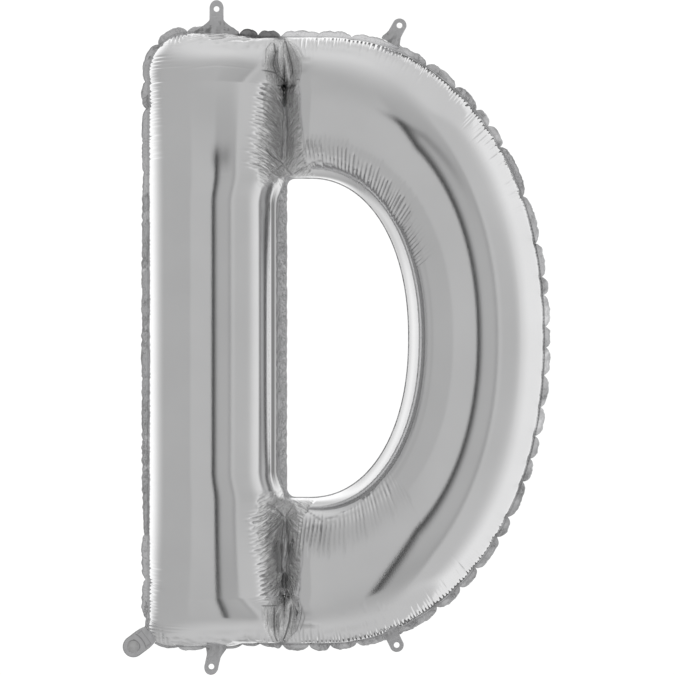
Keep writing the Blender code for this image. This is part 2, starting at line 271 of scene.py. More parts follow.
@dataclass(frozen=True)
class FoldLine:
    """A sharp valley or ridge of the film beside a junction, along a bent line.

    Its lengths are in tenths of a millimetre.

    Attributes:
        upright: True where the line runs along z and falls off across x, False for the reverse.
        before: width of its slope on the side of smaller x, or smaller z.
        after: width of its slope on the other side.
        points: places along the line, across it, and its depth there, in rising order along.
    """

    upright: bool
    before: float
    after: float
    points: tuple[tuple[float, float, float], ...]

    def dip(self, x: Values, z: Values) -> Values:
        """Depth at each point: straight slopes down to the line, which has its own depth."""
        way, across = (z, x) if self.upright else (x, z)
        places, middles, depths = np.array(self.points).T / TENTHS
        away = across - np.interp(way, places, middles)
        width = np.where(away < 0, self.before / TENTHS, self.after / TENTHS)
        return np.interp(way, places, depths) * np.maximum(1 - np.abs(away) / width, 0) ** 1.25


FOLD_LINES = (
    # the upper gas passage: its left valley, its right valley, and the ridge between them
    FoldLine(True, 150, 62, (
        (3560, -820, 0), (3620, -845, 56), (3724, -945, 119), (3864, -995, 133), (4046, -985, 112),
        (4180, -950, 56), (4290, -900, 0),
    )),
    FoldLine(True, 62, 150, (
        (3560, -800, 0), (3620, -785, 56), (3724, -745, 119), (3893, -768, 133), (4046, -805, 105),
        (4180, -840, 56), (4290, -860, 0),
    )),
    FoldLine(True, 60, 60, (
        (3620, -815, 0), (3740, -855, -21), (3900, -895, -35), (4080, -905, -21), (4240, -890, 0),
    )),
    # the lower gas passage, with the same three
    FoldLine(True, 150, 62, (
        (-4190, -890, 0), (-4080, -945, 63), (-3920, -985, 119), (-3760, -975, 126),
        (-3620, -900, 105), (-3520, -815, 56), (-3450, -800, 0),
    )),
    FoldLine(True, 62, 150, (
        (-4190, -860, 0), (-4080, -820, 63), (-3920, -768, 119), (-3760, -740, 126),
        (-3620, -745, 98), (-3520, -785, 56), (-3450, -800, 0),
    )),
    FoldLine(True, 60, 60, (
        (-4150, -880, 0), (-3980, -890, -28), (-3780, -865, -35), (-3600, -820, -21),
        (-3520, -805, 0),
    )),
    # the bright facet on each ridge, which looks to the right
    FoldLine(True, 12, 42, (
        (3640, -840, 0), (3760, -905, -34), (3920, -938, -40), (4120, -935, -34), (4240, -960, 0),
    )),
    FoldLine(True, 12, 46, (
        (-4180, -952, 0), (-4080, -942, -34), (-3892, -915, -44), (-3720, -868, -40),
        (-3600, -830, 0),
    )),
    # level creases across the stem at the passages' ends
    FoldLine(False, 14, 14, (
        (-2350, 3752, 0), (-2100, 3805, 2), (-1820, 3836, 2.5), (-1500, 3815, 2), (-1230, 3780, 0),
    )),
    FoldLine(False, 12, 12, (
        (-1300, -3630, 0), (-1100, -3620, 4), (-960, -3630, 6),
    )),
    # folds that cross over the counter's corners
    FoldLine(False, 35, 35, (
        (-1270, 2770, 0), (-1180, 2725, 22), (-1060, 2660, 32), (-900, 2552, 30), (-784, 2360, 0),
    )),
    FoldLine(False, 30, 30, (
        (-1180, 2640, 0), (-1080, 2600, 20), (-950, 2530, 24), (-860, 2450, 0),
    )),
    FoldLine(False, 35, 35, (
        (-900, 2490, 0), (-800, 2590, 30), (-714, 2674, 28), (-590, 2800, 0),
    )),
    FoldLine(False, 35, 35, (
        (-1230, -2660, 0), (-1100, -2590, 26), (-960, -2510, 32), (-854, -2436, 30),
        (-686, -2226, 0),
    )),
    FoldLine(False, 35, 35, (
        (-1090, -2240, 0), (-960, -2330, 26), (-854, -2436, 32), (-740, -2590, 26),
        (-590, -2770, 0),
    )),
)

CREASE_END = 0.004  # over which a dark crease is eased out at its ends


@dataclass(frozen=True)
class PaintedCreaseShade:
    """A painted line of shade in the film's colour, where the film is folded so sharply that it mirrors only itself.

    Its lengths are in tenths of a millimetre.

    Attributes:
        upright: True where the line runs along z, False where it runs along x.
        strength: how dark it is, from 0 to 1.
        width: half its width.
        stitch: spacing of its dots, or 0 for an unbroken line.
        points: places along it and across it, in rising order along.
    """

    upright: bool
    strength: float
    width: float
    stitch: float
    points: tuple[tuple[float, float], ...]

    def shadow(self, x: Values, z: Values) -> Values:
        """Painted shade at each point: a bell across the line, eased out at its ends, dotted or not."""
        way, across = (z, x) if self.upright else (x, z)
        places, middles = np.array(self.points).T / TENTHS
        width, stitch = self.width / TENTHS, self.stitch / TENTHS
        away = across - np.interp(way, places, middles)
        ends = eased((way - places[0]) / CREASE_END) * eased((places[-1] - way) / CREASE_END)
        shadow = self.strength * np.exp(-((away / width) ** 2)) * ends
        if stitch:
            shadow = shadow * (0.5 + 0.5 * np.sin(way * 2 * math.pi / stitch + 5 * away / width))
        return shadow


# painted shade: dark lines laid into the film's colour along its sharp folds and edges
PAINTED_CREASE_SHADES = (
    # the upper gas passage: its valleys, its outer facets, and the folds out to the bowl
    PaintedCreaseShade(True, 0.90, 13, 0, ((3724, -952), (3864, -1008), (4046, -980), (4214, -1008))),
    PaintedCreaseShade(True, 0.90, 13, 0, ((3654, -784), (3794, -742), (3934, -770), (4256, -854))),
    PaintedCreaseShade(True, 0.60, 10, 0, ((3864, -644), (4046, -714), (4256, -826))),
    PaintedCreaseShade(True, 0.35, 11, 0, ((3934, -574), (4116, -672), (4256, -812))),
    PaintedCreaseShade(True, 0.55, 10, 0, ((3808, -1134), (4088, -1106), (4228, -1022))),
    PaintedCreaseShade(True, 0.30, 9, 0, ((3700, -900), (3900, -925), (4150, -890))),
    PaintedCreaseShade(True, 0.65, 9, 24, ((3640, -880), (3780, -945), (3920, -950), (4200, -975))),
    # the upper junction: the black pinch, the two sides of the weld, and the wall's dotted fold
    PaintedCreaseShade(True, 0.88, 26, 0, ((3290, -862), (3480, -868), (3640, -850))),
    PaintedCreaseShade(True, 0.50, 14, 0, ((2560, -900), (3000, -885), (3330, -876))),
    PaintedCreaseShade(True, 0.45, 14, 0, ((2560, -826), (3000, -815), (3330, -838))),
    PaintedCreaseShade(True, 0.30, 10, 28, ((2540, -866), (3330, -852))),
    PaintedCreaseShade(True, 0.40, 12, 40, ((2646, -588), (2996, -602), (3276, -644), (3528, -714))),
    PaintedCreaseShade(False, 0.80, 12, 0, ((-1162, 3780), (-994, 3766), (-854, 3668), (-784, 3626))),
    PaintedCreaseShade(False, 0.85, 12, 0, ((-980, 3590), (-784, 3612), (-672, 3584))),
    PaintedCreaseShade(False, 0.45, 9, 0, ((-1230, 2720), (-1100, 2700), (-980, 2620))),
    # the lower gas passage
    PaintedCreaseShade(True, 0.88, 13, 0, ((-4180, -950), (-4060, -990), (-3850, -998), (-3630, -992))),
    PaintedCreaseShade(True, 0.50, 10, 0, ((-4180, -1000), (-4000, -1070), (-3800, -1092), (-3660, -1080))),
    PaintedCreaseShade(True, 0.88, 12, 0, ((-4180, -880), (-4000, -830), (-3840, -784), (-3600, -760))),
    PaintedCreaseShade(True, 0.55, 9, 0, ((-4100, -850), (-3900, -790), (-3640, -730))),
    PaintedCreaseShade(True, 0.50, 10, 0, ((-4116, -812), (-3980, -690), (-3800, -630), (-3620, -610))),
    PaintedCreaseShade(True, 0.40, 11, 0, ((-3990, -644), (-3780, -574), (-3598, -616))),
    PaintedCreaseShade(True, 0.50, 8, 24, ((-4100, -890), (-3800, -850), (-3620, -820))),
    # the lower junction
    PaintedCreaseShade(True, 0.88, 26, 0, ((-3430, -876), (-3360, -882), (-3180, -872))),
    PaintedCreaseShade(True, 0.92, 18, 0, ((-3570, -795), (-3500, -800), (-3380, -866))),
    PaintedCreaseShade(True, 0.60, 15, 0, ((-3220, -898), (-2800, -904), (-2436, -870))),
    PaintedCreaseShade(True, 0.55, 14, 0, ((-3220, -840), (-2800, -804), (-2436, -838))),
    PaintedCreaseShade(True, 0.30, 10, 30, ((-3200, -870), (-2440, -856))),
    PaintedCreaseShade(True, 0.40, 12, 40, ((-3304, -672), (-3024, -602), (-2674, -588))),
    PaintedCreaseShade(False, 0.70, 10, 0, ((-1176, -3612), (-940, -3626))),
    PaintedCreaseShade(False, 0.60, 10, 0, ((-800, -3500), (-700, -3512), (-504, -3490))),
    # folds that cross over the counter's corners
    PaintedCreaseShade(False, 0.50, 11, 0, ((-1127, 2670), (-994, 2590), (-889, 2513), (-721, 2331))),
    PaintedCreaseShade(False, 0.45, 10, 0, ((-1092, 2296), (-980, 2408), (-889, 2513), (-714, 2688))),
    PaintedCreaseShade(False, 0.35, 9, 0, ((-1180, 2590), (-1050, 2520), (-920, 2480))),
    PaintedCreaseShade(False, 0.50, 11, 0, ((-1120, -2184), (-994, -2254), (-854, -2436), (-588, -2744))),
    PaintedCreaseShade(False, 0.50, 11, 0, ((-1176, -2814), (-1036, -2632), (-854, -2436), (-700, -2184))),
    PaintedCreaseShade(False, 0.35, 9, 0, ((-1190, -2500), (-1050, -2480), (-900, -2400))),
    # painted shade lines that draw the edge of the first tab's root and its slot, pressed over the stem's shoulder
    PaintedCreaseShade(False, 0.55, 7, 0, ((-1930, 4320), (-1880, 4290), (-1720, 4284), (-1640, 4310))),
    PaintedCreaseShade(False, 0.50, 6, 0, ((-1850, 4336), (-1740, 4340))),
    # the bowl's inner ridges, by the counter's corners
    PaintedCreaseShade(False, 0.45, 11, 0, ((-742, 2366), (-462, 2513), (-364, 2530), (-84, 2436))),
    PaintedCreaseShade(False, 0.45, 11, 0, ((-686, -2226), (-476, -2352), (-336, -2436), (-84, -2352))),
)


def crease_shadow(x: Values, z: Values) -> Values:
    """The painted shade of the film's sharp creases at each point, from 0 to 1: the darkest of them there."""
    darkest = np.zeros_like(x)
    for crease in PAINTED_CREASE_SHADES:
        darkest = np.maximum(darkest, crease.shadow(x, z))
    return darkest


PASSAGE_EDGE = 0.0016  # over which a passage's folded film begins at its sides
PASSAGE_ENDS = (0.358, -0.350)  # heights where the upper one and the lower one begin
PASSAGE_FADE = 0.004  # over which they do
PASSAGE_SIDES = (
    # height, rising, and the folded film's left and right side there, in tenths of a millimetre
    (-4195, -4130, -3940, -3640, -3480, 3580, 3654, 3800, 3934, 4074, 4220, 4295),
    (-930, -1050, -1134, -1162, -960, -960, -1120, -1140, -1134, -1110, -1036, -980),
    (-830, -784, -672, -700, -760, -780, -690, -600, -600, -650, -760, -830),
)


def passage(x: Values, z: Values) -> Values:
    """1 on the folded film over a gas passage, up to its outer folds, and 0 elsewhere."""
    heights, left, right = np.array(PASSAGE_SIDES) / TENTHS
    within = eased((x - np.interp(z, heights, left)) / PASSAGE_EDGE)
    within = within * eased((np.interp(z, heights, right) - x) / PASSAGE_EDGE)
    upper, lower = PASSAGE_ENDS
    return within * eased((z - upper) / PASSAGE_FADE) + within * eased((lower - z) / PASSAGE_FADE)


DIMPLES = (
    # x, z, depth, radius
    (-0.0800, 0.3590, 0.0090, 0.0060),
    (-0.0800, -0.3480, 0.0090, 0.0060),
)


def junction_relief(x: Values, z: Values) -> Values:
    """Change of the film's depth beside the junctions: folds round each gas passage, and dimples."""
    relief = np.zeros_like(x)
    for line in FOLD_LINES:
        relief -= line.dip(x, z)
    for centre_x, centre_z, depth, radius in DIMPLES:
        relief -= depth * np.exp(-((x - centre_x) ** 2 + (z - centre_z) ** 2) / radius**2)
    return relief


# ---------------------------------------------------------------- the letter's form


@dataclass(frozen=True)
class Letter:
    """The filled letter's sizes, and its seam lines and depths as functions of place.

    Attributes:
        stem_left: x of the stem's outer seam.
        top: height of the top seam.
        bottom: height of the bottom seam.
        top_corner: radius of the seam's corner at the top left.
        bottom_corner: radius of its corner at the bottom left.
        junction_x: x of the seam between stem and bowl.
        bowl_centre_x: x of the middle of the bowl's squared ellipse.
        bowl_half_width: half its size along x.
        roundness: its power, 2 for an ellipse and more for a squarer one.
        lower_roundness: the power of the outer seam's lower half.
        counter_left: x of the counter's straight side.
        counter_centre_x: x of the middle of the counter's squared ellipse.
        counter_centre_z: height of its middle.
        counter_half_width: half its size along x.
        counter_half_height: half its size along z.
        counter_weld_stem: visible width of the counter's weld along the stem.
        counter_weld_bowl: its visible width along the bowl.
        corner_ease: over which the stem's right seam moves from the counter to the junction.
        stem_depth: half the stem's thickness.
        bowl_depth: half the bowl's thickness.
        shoulder: over which the stem first swells from its top and bottom welds.
        shoulder_share: share of its depth that this gives.
        slope: over which the rest of its depth rises.
        valley: over which the bowl first swells from its junction.
        valley_share: share of its depth that this gives.
        valley_slope: over which the rest of its depth rises.
        saddle: half the thickness of the gas passages past the junction welds.
        passage: height of a gas passage.
        rim: from the seam plane to a panel's edge.
        crease: from the seam plane to the film over a junction weld.
        hollow: distance from a junction over which its valley's wall rises.
        weld_lap: how far a junction weld's hollow runs on past its ends.
        weld_ease: over which the hollow begins at each end.
        top_lift: how far the stem's top weld is lifted at its left.
        lift_start: x where the lift begins, going left.
        lift_full: x where it is whole.
        bottom_sag: how far the stem's bottom weld sags.
        sag_left: x where the sag begins at its left.
        sag_right: x where it begins at its right.
        sag_ease: over which it becomes whole.
        bend_length: how far down or up the stem the two are still felt.
    """

    stem_left: float = -0.2765
    top: float = 0.4295
    bottom: float = -0.4195
    top_corner: float = 0.056
    bottom_corner: float = 0.022
    junction_x: float = -0.0860
    bowl_centre_x: float = -0.0354
    bowl_half_width: float = 0.3122
    roundness: float = 2.16
    lower_roundness: float = 2.12
    counter_left: float = -0.0826
    counter_centre_x: float = -0.0510
    counter_centre_z: float = 0.0087
    counter_half_width: float = 0.1378
    counter_half_height: float = 0.2226
    counter_weld_stem: float = 0.0112
    counter_weld_bowl: float = 0.0012
    corner_ease: float = 0.040
    stem_depth: float = 0.088
    bowl_depth: float = 0.084
    shoulder: float = 0.045
    shoulder_share: float = 0.42
    slope: float = 0.220
    valley: float = 0.046
    valley_share: float = 0.62
    valley_slope: float = 0.200
    saddle: float = 0.030
    passage: float = 0.070
    rim: float = 0.0006
    crease: float = 0.0014
    hollow: float = 0.0100
    weld_lap: float = 0.004
    weld_ease: float = 0.016
    top_lift: float = 0.0068
    lift_start: float = -0.118
    lift_full: float = -0.175
    bottom_sag: float = 0.0035
    sag_left: float = -0.272
    sag_right: float = -0.135
    sag_ease: float = 0.030
    bend_length: float = 0.160

    @property
    def inner_top(self) -> float:
        """Height of the sheets' edge over the counter."""
        return self.counter_centre_z + self.counter_half_height + self.counter_weld_bowl

    @property
    def inner_bottom(self) -> float:
        """Height of the sheets' edge under the counter."""
        return self.counter_centre_z - self.counter_half_height - self.counter_weld_bowl

    @property
    def stem_right(self) -> float:
        """The stem's seam beside the counter."""
        return self.counter_left - self.counter_weld_stem

    def swell(self, distance: Values, length: float, power: float = 2.0) -> Values:
        """From 0 at a weld to 1 at a length from it: a quarter ellipse, squarer with more power."""
        return np.sqrt(1 - np.clip(1 - distance / length, 0, 1) ** power)

    def stem_rise(self, z: Values) -> Values:
        """Share of the stem's depth at a height: it swells over the shoulder, then as a parabola."""
        rise = np.ones_like(z)
        for distance in (self.top - z, z - self.bottom):
            slope = 1 - np.clip(1 - distance / self.slope, 0, 1) ** 2
            swelling = self.shoulder_share * self.swell(distance, self.shoulder)
            rise = rise * (swelling + (1 - self.shoulder_share) * slope)
        return rise

    def bowl_rise(self, along: Values) -> Values:
        """Share of the bowl's depth at a distance from its junction: a wall, then a parabola."""
        slope = 1 - np.clip(1 - along / self.valley_slope, 0, 1) ** 2
        swelling = self.valley_share * self.swell(along, self.valley, 3.0)
        return swelling + (1 - self.valley_share) * slope

    def bend(self, x: Values, z: Values) -> Values:
        """How far the stem's outline stands above its straight form: its top lifts, its foot sags."""
        lift = self.top_lift * eased((self.lift_start - x) / (self.lift_start - self.lift_full))
        sag = self.bottom_sag * eased((x - self.sag_left) / self.sag_ease)
        sag = sag * eased((self.sag_right - x) / self.sag_ease)
        near_top = np.clip(1 - (self.top - z) / self.bend_length, 0, 1) ** 2
        near_bottom = np.clip(1 - (z - self.bottom) / self.bend_length, 0, 1) ** 2
        return lift * near_top - sag * near_bottom

    def welded(self, z: Values) -> Values:
        """1 where stem and bowl are welded to each other, 0 at the gas passages and beside the counter."""
        lap, ease = self.weld_lap, self.weld_ease
        upper = eased((z - self.inner_top + lap) / ease)
        upper = upper * eased((self.top - self.passage + lap - z) / ease)
        lower = eased((self.inner_bottom + lap - z) / ease)
        lower = lower * eased((z - self.bottom - self.passage + lap) / ease)
        return upper + lower

    def beside_counter(self, z: Values, inset: float, ease: float) -> Values:
        """1 beside the counter, eased to 0 over a length that starts an inset from its ends."""
        above = eased((self.inner_top - z - inset) / ease)
        return above * eased((z - self.inner_bottom - inset) / ease)

    def valley_floor(self, distance: Values) -> Values:
        """Share of the tube's depth near the junction: nearly level on the weld, then steep walls."""
        return 1 - 0.97 * np.exp(-((np.maximum(distance, 0) / self.hollow) ** 1.5))

    def stem_edge(self, z: Values) -> Values:
        """The stem's outer seam at a height: straight, with a quarter circle at each corner."""
        left = np.full_like(z, self.stem_left)
        for radius, rise in ((self.top_corner, z - self.top), (self.bottom_corner, self.bottom - z)):
            past = np.clip(rise + radius, 0, radius)
            left += radius - np.sqrt(radius**2 - past**2)
        return left

    def junction_depth(self, z: Values) -> Values:
        """The film's height over the seam plane at the junction: a crease, and arches at the passages."""
        depth = np.zeros_like(z)
        for near, far in (
            (self.top, self.top - self.passage),
            (self.bottom, self.bottom + self.passage),
        ):
            share = np.clip((z - near) / (far - near), 0, 1)
            depth += self.saddle * np.sin(np.pi * share)
        between = (z < self.top - 1e-6) & (z > self.bottom + 1e-6)
        beyond = (z > self.inner_top + 1e-6) | (z < self.inner_bottom - 1e-6)
        return depth + np.where(between & beyond, self.crease - self.rim, 0)

    def superellipse(
        self,
        centre: tuple,
        half_width: float,
        half_height: float,
        angles: Values,
        lower: float | None = None,
    ) -> Points:
        """The right-hand side of a squared ellipse: centre plus half-sizes times cosine and sine to a power.

        Args:
            centre: its middle, x and z.
            half_width: half its size along x.
            half_height: half its size along z.
            angles: where on it, in radians.
            lower: the squareness of its lower half, where that differs.

        Returns:
            Points of x and z.
        """
        power = 2 / np.where(np.sin(angles) < 0, lower or self.roundness, self.roundness)
        cosine, sine = np.cos(angles), np.sin(angles)
        x = centre[0] + half_width * np.abs(cosine) ** power
        z = centre[1] + half_height * np.sign(sine) * np.abs(sine) ** power
        return np.column_stack([x, z])

    def bowl_lines(self, count: int) -> tuple[Points, Points]:
        """The bowl's outer and inner seams from the upper junction to the lower, paired by point.

        Args:
            count: number of points, evenly spaced on the outer seam.

        Returns:
            Two arrays of x and z.
        """
        angles = np.radians(np.linspace(90, -90, 4000))
        middle = (self.top + self.bottom) / 2
        grow = self.counter_weld_bowl
        outer = self.superellipse(
            (self.bowl_centre_x, middle),
            self.bowl_half_width,
            (self.top - self.bottom) / 2,
            angles,
            self.lower_roundness,
        )
        inner = self.superellipse(
            (self.counter_centre_x, self.counter_centre_z),
            self.counter_half_width + grow,
            self.counter_half_height + grow,
            angles,
        )
        share = np.linspace(0, 1, 200)[:-1, None]
        upper = np.array([[self.junction_x, self.top], [self.junction_x, self.inner_top]])
        lower = np.array([[self.junction_x, self.bottom], [self.junction_x, self.inner_bottom]])
        lines = []
        for line, start, end in ((outer, upper[0], lower[0]), (inner, upper[1], lower[1])):
            first = start + (line[0] - start) * share
            last = line[-1] + (end - line[-1]) * (1 - share[::-1])
            lines.append(np.concatenate([first, line, last]))
        along = travel(lines[0])
        at = np.linspace(0, along[-1], count)
        return tuple(line_at(line, along, at) for line in lines)

    def outer_line(self, step: float) -> Points:
        """The outer seam, from the neck's corner up the stem's side, over the bowl and back."""
        low, high = self.bottom_corner, self.top_corner
        corner = (self.stem_left + low, self.bottom + low)
        bowl = self.bowl_lines(3000)[0]
        line = np.concatenate([
            arc(corner, low, 225, 180),
            arc((self.stem_left + high, self.top - high), high, 180, 90),
            bowl,
            arc(corner, low, 270, 225),
        ])
        along = travel(line)
        line = line_at(line, along, np.linspace(0, along[-1], len(line) * 2))
        line[:, 1] += self.bend(line[:, 0], line[:, 1])
        along = travel(line)
        return line_at(line, along, np.linspace(0, along[-1], round(along[-1] / step)))


def arc(centre: tuple, radius: float, start: float, end: float, steps: int = 60) -> Points:
    """Points on a circle between two angles in degrees."""
    angles = np.radians(np.linspace(start, end, steps))
    x = centre[0] + radius * np.cos(angles)
    return np.column_stack([x, centre[1] + radius * np.sin(angles)])


def line_at(line: Points, along: Values, at: Values) -> Points:
    """Points of a line at some distances, from the distance along it to each of its points."""
    return np.column_stack([np.interp(at, along, line[:, k]) for k in (0, 1)])


def travel(line: Points) -> Values:
    """Distance along a line of points, from 0 at its first."""
    steps = np.linalg.norm(np.diff(line, axis=0), axis=1)
    return np.concatenate([[0], np.cumsum(steps)])


def outward(line: Points) -> Points:
    """Unit normals on the left of the way, which is outside on the outer seam."""
    along = np.gradient(line, axis=0)
    normals = np.column_stack([-along[:, 1], along[:, 0]])
    return normals / np.linalg.norm(normals, axis=1, keepdims=True)


LETTER = Letter()


class OuterSeam:
    """The outer seam as tables: where it runs, its pinches, and how far each draws it in."""

    start_bearing: int = 237  # direction of its start from the letter's middle, in degrees
    bell: float = 0.005  # half-width of a pinch's pull along the seam
    groove_side: float = 0.0045  # over which a groove falls off on both sides
    stitch_pitch: float = 0.0030
    stitch_bell: float = 0.0048  # half-width of a pinch's stitches along the seam
    stitch_reach: float = 0.010  # how much further in than its groove they run
    stitch_shade: float = 0.62

    def __init__(self, step: float = 0.0005) -> None:
        """Works the tables out.

        Args:
            step: spacing of the table's points.
        """
        self.line = LETTER.outer_line(step)
        self.along = travel(self.line)
        self.normals = outward(self.line)
        bearing = np.unwrap(np.arctan2(self.line[:, 1], self.line[:, 0]))
        bearing += TURN * round((math.radians(self.start_bearing) - bearing[0]) / TURN)
        self.bearing = np.degrees(bearing)

    def at(self, angle: float) -> float:
        """Distance along the seam to the point in a direction from the middle, in degrees."""
        return float(np.interp(-angle, -self.bearing, self.along))

    def pull(self, along: Values) -> Values:
        """How far the pinches draw the seam in: a bell at each."""
        total = np.zeros_like(along)
        for pinch in PINCHES:
            total += pinch.pull * np.exp(-(((along - self.at(pinch.angle)) / self.bell) ** 2))
        return total

    def lean(self, index: int) -> float:
        """How far along the seam a pinch's groove shifts for each metre inwards."""
        return 0.5 * (chance(np.array(float(index)), 5) - 0.5)

    def groove(self, along: Values, inward: Values) -> Values:
        """Depth of the film's grooves at the pinches: sharp at the bottom, less inwards."""
        total = np.zeros_like(along)
        for index, pinch in enumerate(PINCHES):
            away = np.abs(along - self.at(pinch.angle) - self.lean(index) * inward)
            inwards = np.exp(-((inward / pinch.reach) ** 2))
            total += pinch.depth * np.exp(-away / self.groove_side) * inwards
        return total

    def stitches(self, along: Values, inward: Values) -> Values:
        """Painted shade of the short creases side by side at each pinch: a bell times a wave."""
        total = np.zeros_like(along)
        for index, pinch in enumerate(PINCHES):
            away = along - self.at(pinch.angle) - self.lean(index) * inward
            wave = 0.5 + 0.5 * np.cos(away * 2 * math.pi / self.stitch_pitch + index)
            reach = pinch.reach + self.stitch_reach
            bell = np.exp(-((away / self.stitch_bell) ** 2) - (inward / reach) ** 2)
            shade = self.stitch_shade * wave * bell * eased(pinch.notch / 0.5)
            total = np.maximum(total, shade)
        return total

    def scallop(self, along: Values) -> tuple[np.ndarray, Values]:
        """The number of the pinch after each place, and the share of the way to it."""
        places = np.array([self.at(pinch.angle) for pinch in PINCHES])
        following = np.clip(np.searchsorted(places, along), 1, len(places) - 1)
        before, after = places[following - 1], places[following]
        return following, np.clip((along - before) / (after - before), 0, 1)

    def band(self, along: Values) -> Values:
        """Share of the weld's full width: 1 on a scallop's back, less at each pinch, rounded."""
        following, share = self.scallop(along)
        notch = np.array([pinch.notch for pinch in PINCHES])
        depth = notch[following - 1] * (1 - share) + notch[following] * share
        shoulder = 1 - np.abs(2 * share - 1) ** 3.2
        return 1 - depth * (1 - np.sqrt(np.maximum(shoulder, 0)))

    def tilt(self, along: Values) -> Values:
        """Each scallop's own tilt, from -1 to 1 in its middle and 0 at its pinches."""
        following, share = self.scallop(along)
        return (2 * chance(following, 37) - 1) * np.sin(np.pi * share) ** 0.5

    def by_direction(self, along: Values, row: int) -> Values:
        """A row of the weld's table at each place, read by the direction from the middle."""
        angle = np.interp(along, self.along, self.bearing)
        return np.interp(angle, WELD_BY_DIRECTION[0], WELD_BY_DIRECTION[row])


WELD_BY_DIRECTION = np.array((
    # direction in degrees, how far back the weld leans there, painted light above 0 and painted shade below 0
    (-125, 0.35, -0.1), (-100, 0.30, -0.2), (-85, 0.35, 0.0), (-60, 0.15, -0.1), (-40, 0.05, -0.1),
    (-25, 0.30, 0.8), (0, 0.38, 1.0), (20, 0.30, 0.9), (35, 0.10, 0.1), (60, 0.12, 0.0),
    (78, 0.40, 0.1), (84, 0.70, 0.9), (97, 0.80, 1.0), (101, 0.60, 0.8), (102.5, 0.0, -0.9),
    (109, 0.0, -0.9), (110.5, 0.1, 0.0), (125, 0.1, -0.1), (140, 0.05, 0.0), (180, 0, 0.2),
    (237, 0, 0.0),
)).T
HIDDEN_WELD = (
    # directions in degrees where the film hangs over the weld, rising, and the width left to see
    (-124, -119, -113, -106, -103.5, -102),
    (1.0, 0.75, 0.40, 0.35, 0.60, 1.0),
)


# ---------------------------------------------------------------- meshes


def surface(
    name: str,
    points: Points,
    flip: bool,
    places: Points | None = None,
    marks: dict[str, Values] | None = None,
) -> bpy.types.Object:
    """A mesh of quads from a grid of points.

    Args:
        name: the piece's name.
        points: rows by columns by 3.
        flip: turns the faces round.
        places: the film's own coordinates, rows by columns by 2, kept as the UV map "Film".
        marks: numbers for each point that the material reads, by name.

    Returns:
        The object, at the origin.
    """
    rows, columns = points.shape[:2]
    index = np.arange(rows * columns).reshape(rows, columns)
    corners = np.stack([index[:-1, :-1], index[1:, :-1], index[1:, 1:], index[:-1, 1:]], axis=-1)
    corners = corners.reshape(-1, 4)
    piece = mesh_of(name, points.reshape(-1, 3), corners[:, ::-1] if flip else corners, places)
    for key, values in (marks or {}).items():
        add_mark(piece, key, values)
    return piece


def add_mark(piece: bpy.types.Object, name: str, values: Values) -> None:
    """Writes a number on each of a piece's points, which its material reads."""
    mark = piece.data.attributes.new(name, "FLOAT", "POINT")
    mark.data.foreach_set("value", np.ascontiguousarray(values, dtype=np.float32).ravel())


def mesh_of(
    name: str, points: Points, corners: np.ndarray, places: Points | None
) -> bpy.types.Object:
    """A smooth mesh from points and the corners of its quads.

    Args:
        name: the piece's name.
        points: count by 3.
        corners: faces by 4.
        places: coordinates for the UV map "Film", one pair a point.

    Returns:
        The object, at the origin.
    """
    mesh = bpy.data.meshes.new(name)
    mesh.vertices.add(len(points))
    mesh.vertices.foreach_set("co", np.ascontiguousarray(points, dtype=np.float32).ravel())
    mesh.loops.add(corners.size)
    mesh.loops.foreach_set("vertex_index", np.ascontiguousarray(corners, dtype=np.int32).ravel())
    mesh.polygons.add(len(corners))
    mesh.polygons.foreach_set("loop_start", np.arange(0, corners.size, 4, dtype=np.int32))
    if places is not None:
        film = mesh.uv_layers.new(name="Film")
        pairs = places.reshape(-1, 2)[corners.ravel()]
        film.data.foreach_set("uv", pairs.astype(np.float32).ravel())
    mesh.update(calc_edges=True)
    mesh.validate()
    mesh.shade_smooth()
    piece = bpy.data.objects.new(name, mesh)
    bpy.context.scene.collection.objects.link(piece)
    return piece


def joined(name: str, sheets: list[tuple[Points, Points, Values]]) -> bpy.types.Object:
    """One mesh from several grids.

    Args:
        name: the piece's name.
        sheets: for each grid its points, its own coordinates, and the painted shade of its lines.

    Returns:
        The object, at the origin.
    """
    corners, start = [], 0
    for points, _, _ in sheets:
        rows, columns = points.shape[:2]
        index = start + np.arange(rows * columns).reshape(rows, columns)
        faces = np.stack([index[:-1, :-1], index[:-1, 1:], index[1:, 1:], index[1:, :-1]], axis=-1)
        corners.append(faces.reshape(-1, 4))
        start += rows * columns
    flat = [
        np.concatenate([sheet[k].reshape(-1, size) for sheet in sheets])
        for k, size in ((0, 3), (1, 2), (2, 1))
    ]
    piece = mesh_of(name, flat[0], np.concatenate(corners), flat[1])
    add_mark(piece, "shadow", flat[2])
    return piece


def thicken(piece: bpy.types.Object, thickness: float) -> None:
    """Gives a flat piece its thickness, half to each side."""
    wall = piece.modifiers.new("Film", "SOLIDIFY")
    wall.thickness = thickness
    wall.offset = 0


def finish_piece(
    piece: bpy.types.Object, material: bpy.types.Material, slot: str, *nodes: str
) -> None:
    """Dresses a new piece, hangs it under the root, and hides the solids that it stands for.

    Args:
        piece: the piece.
        material: its finish.
        slot: not used.
        nodes: the solids that it stands for.
    """
    piece.data.materials.append(material)
    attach(piece, "root")
    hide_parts(*nodes)
    log.info("%s: %d faces", piece.name, len(piece.data.polygons))


def edge_travel(points: Points, axis: int) -> Values:
    """Distance over the film from a grid's first row or column to each of its points."""
    steps = np.linalg.norm(np.diff(points, axis=axis), axis=2)
    still = np.zeros_like(np.take(steps, [0], axis=axis))
    return np.concatenate([still, np.cumsum(steps, axis=axis)], axis=axis)


def edge_travels(points: Points, axis: int) -> tuple[Values, Values]:
    """The same from the first row or column, and from the last one."""
    back = edge_travel(np.flip(points, axis), axis)
    return edge_travel(points, axis), np.flip(back, axis)


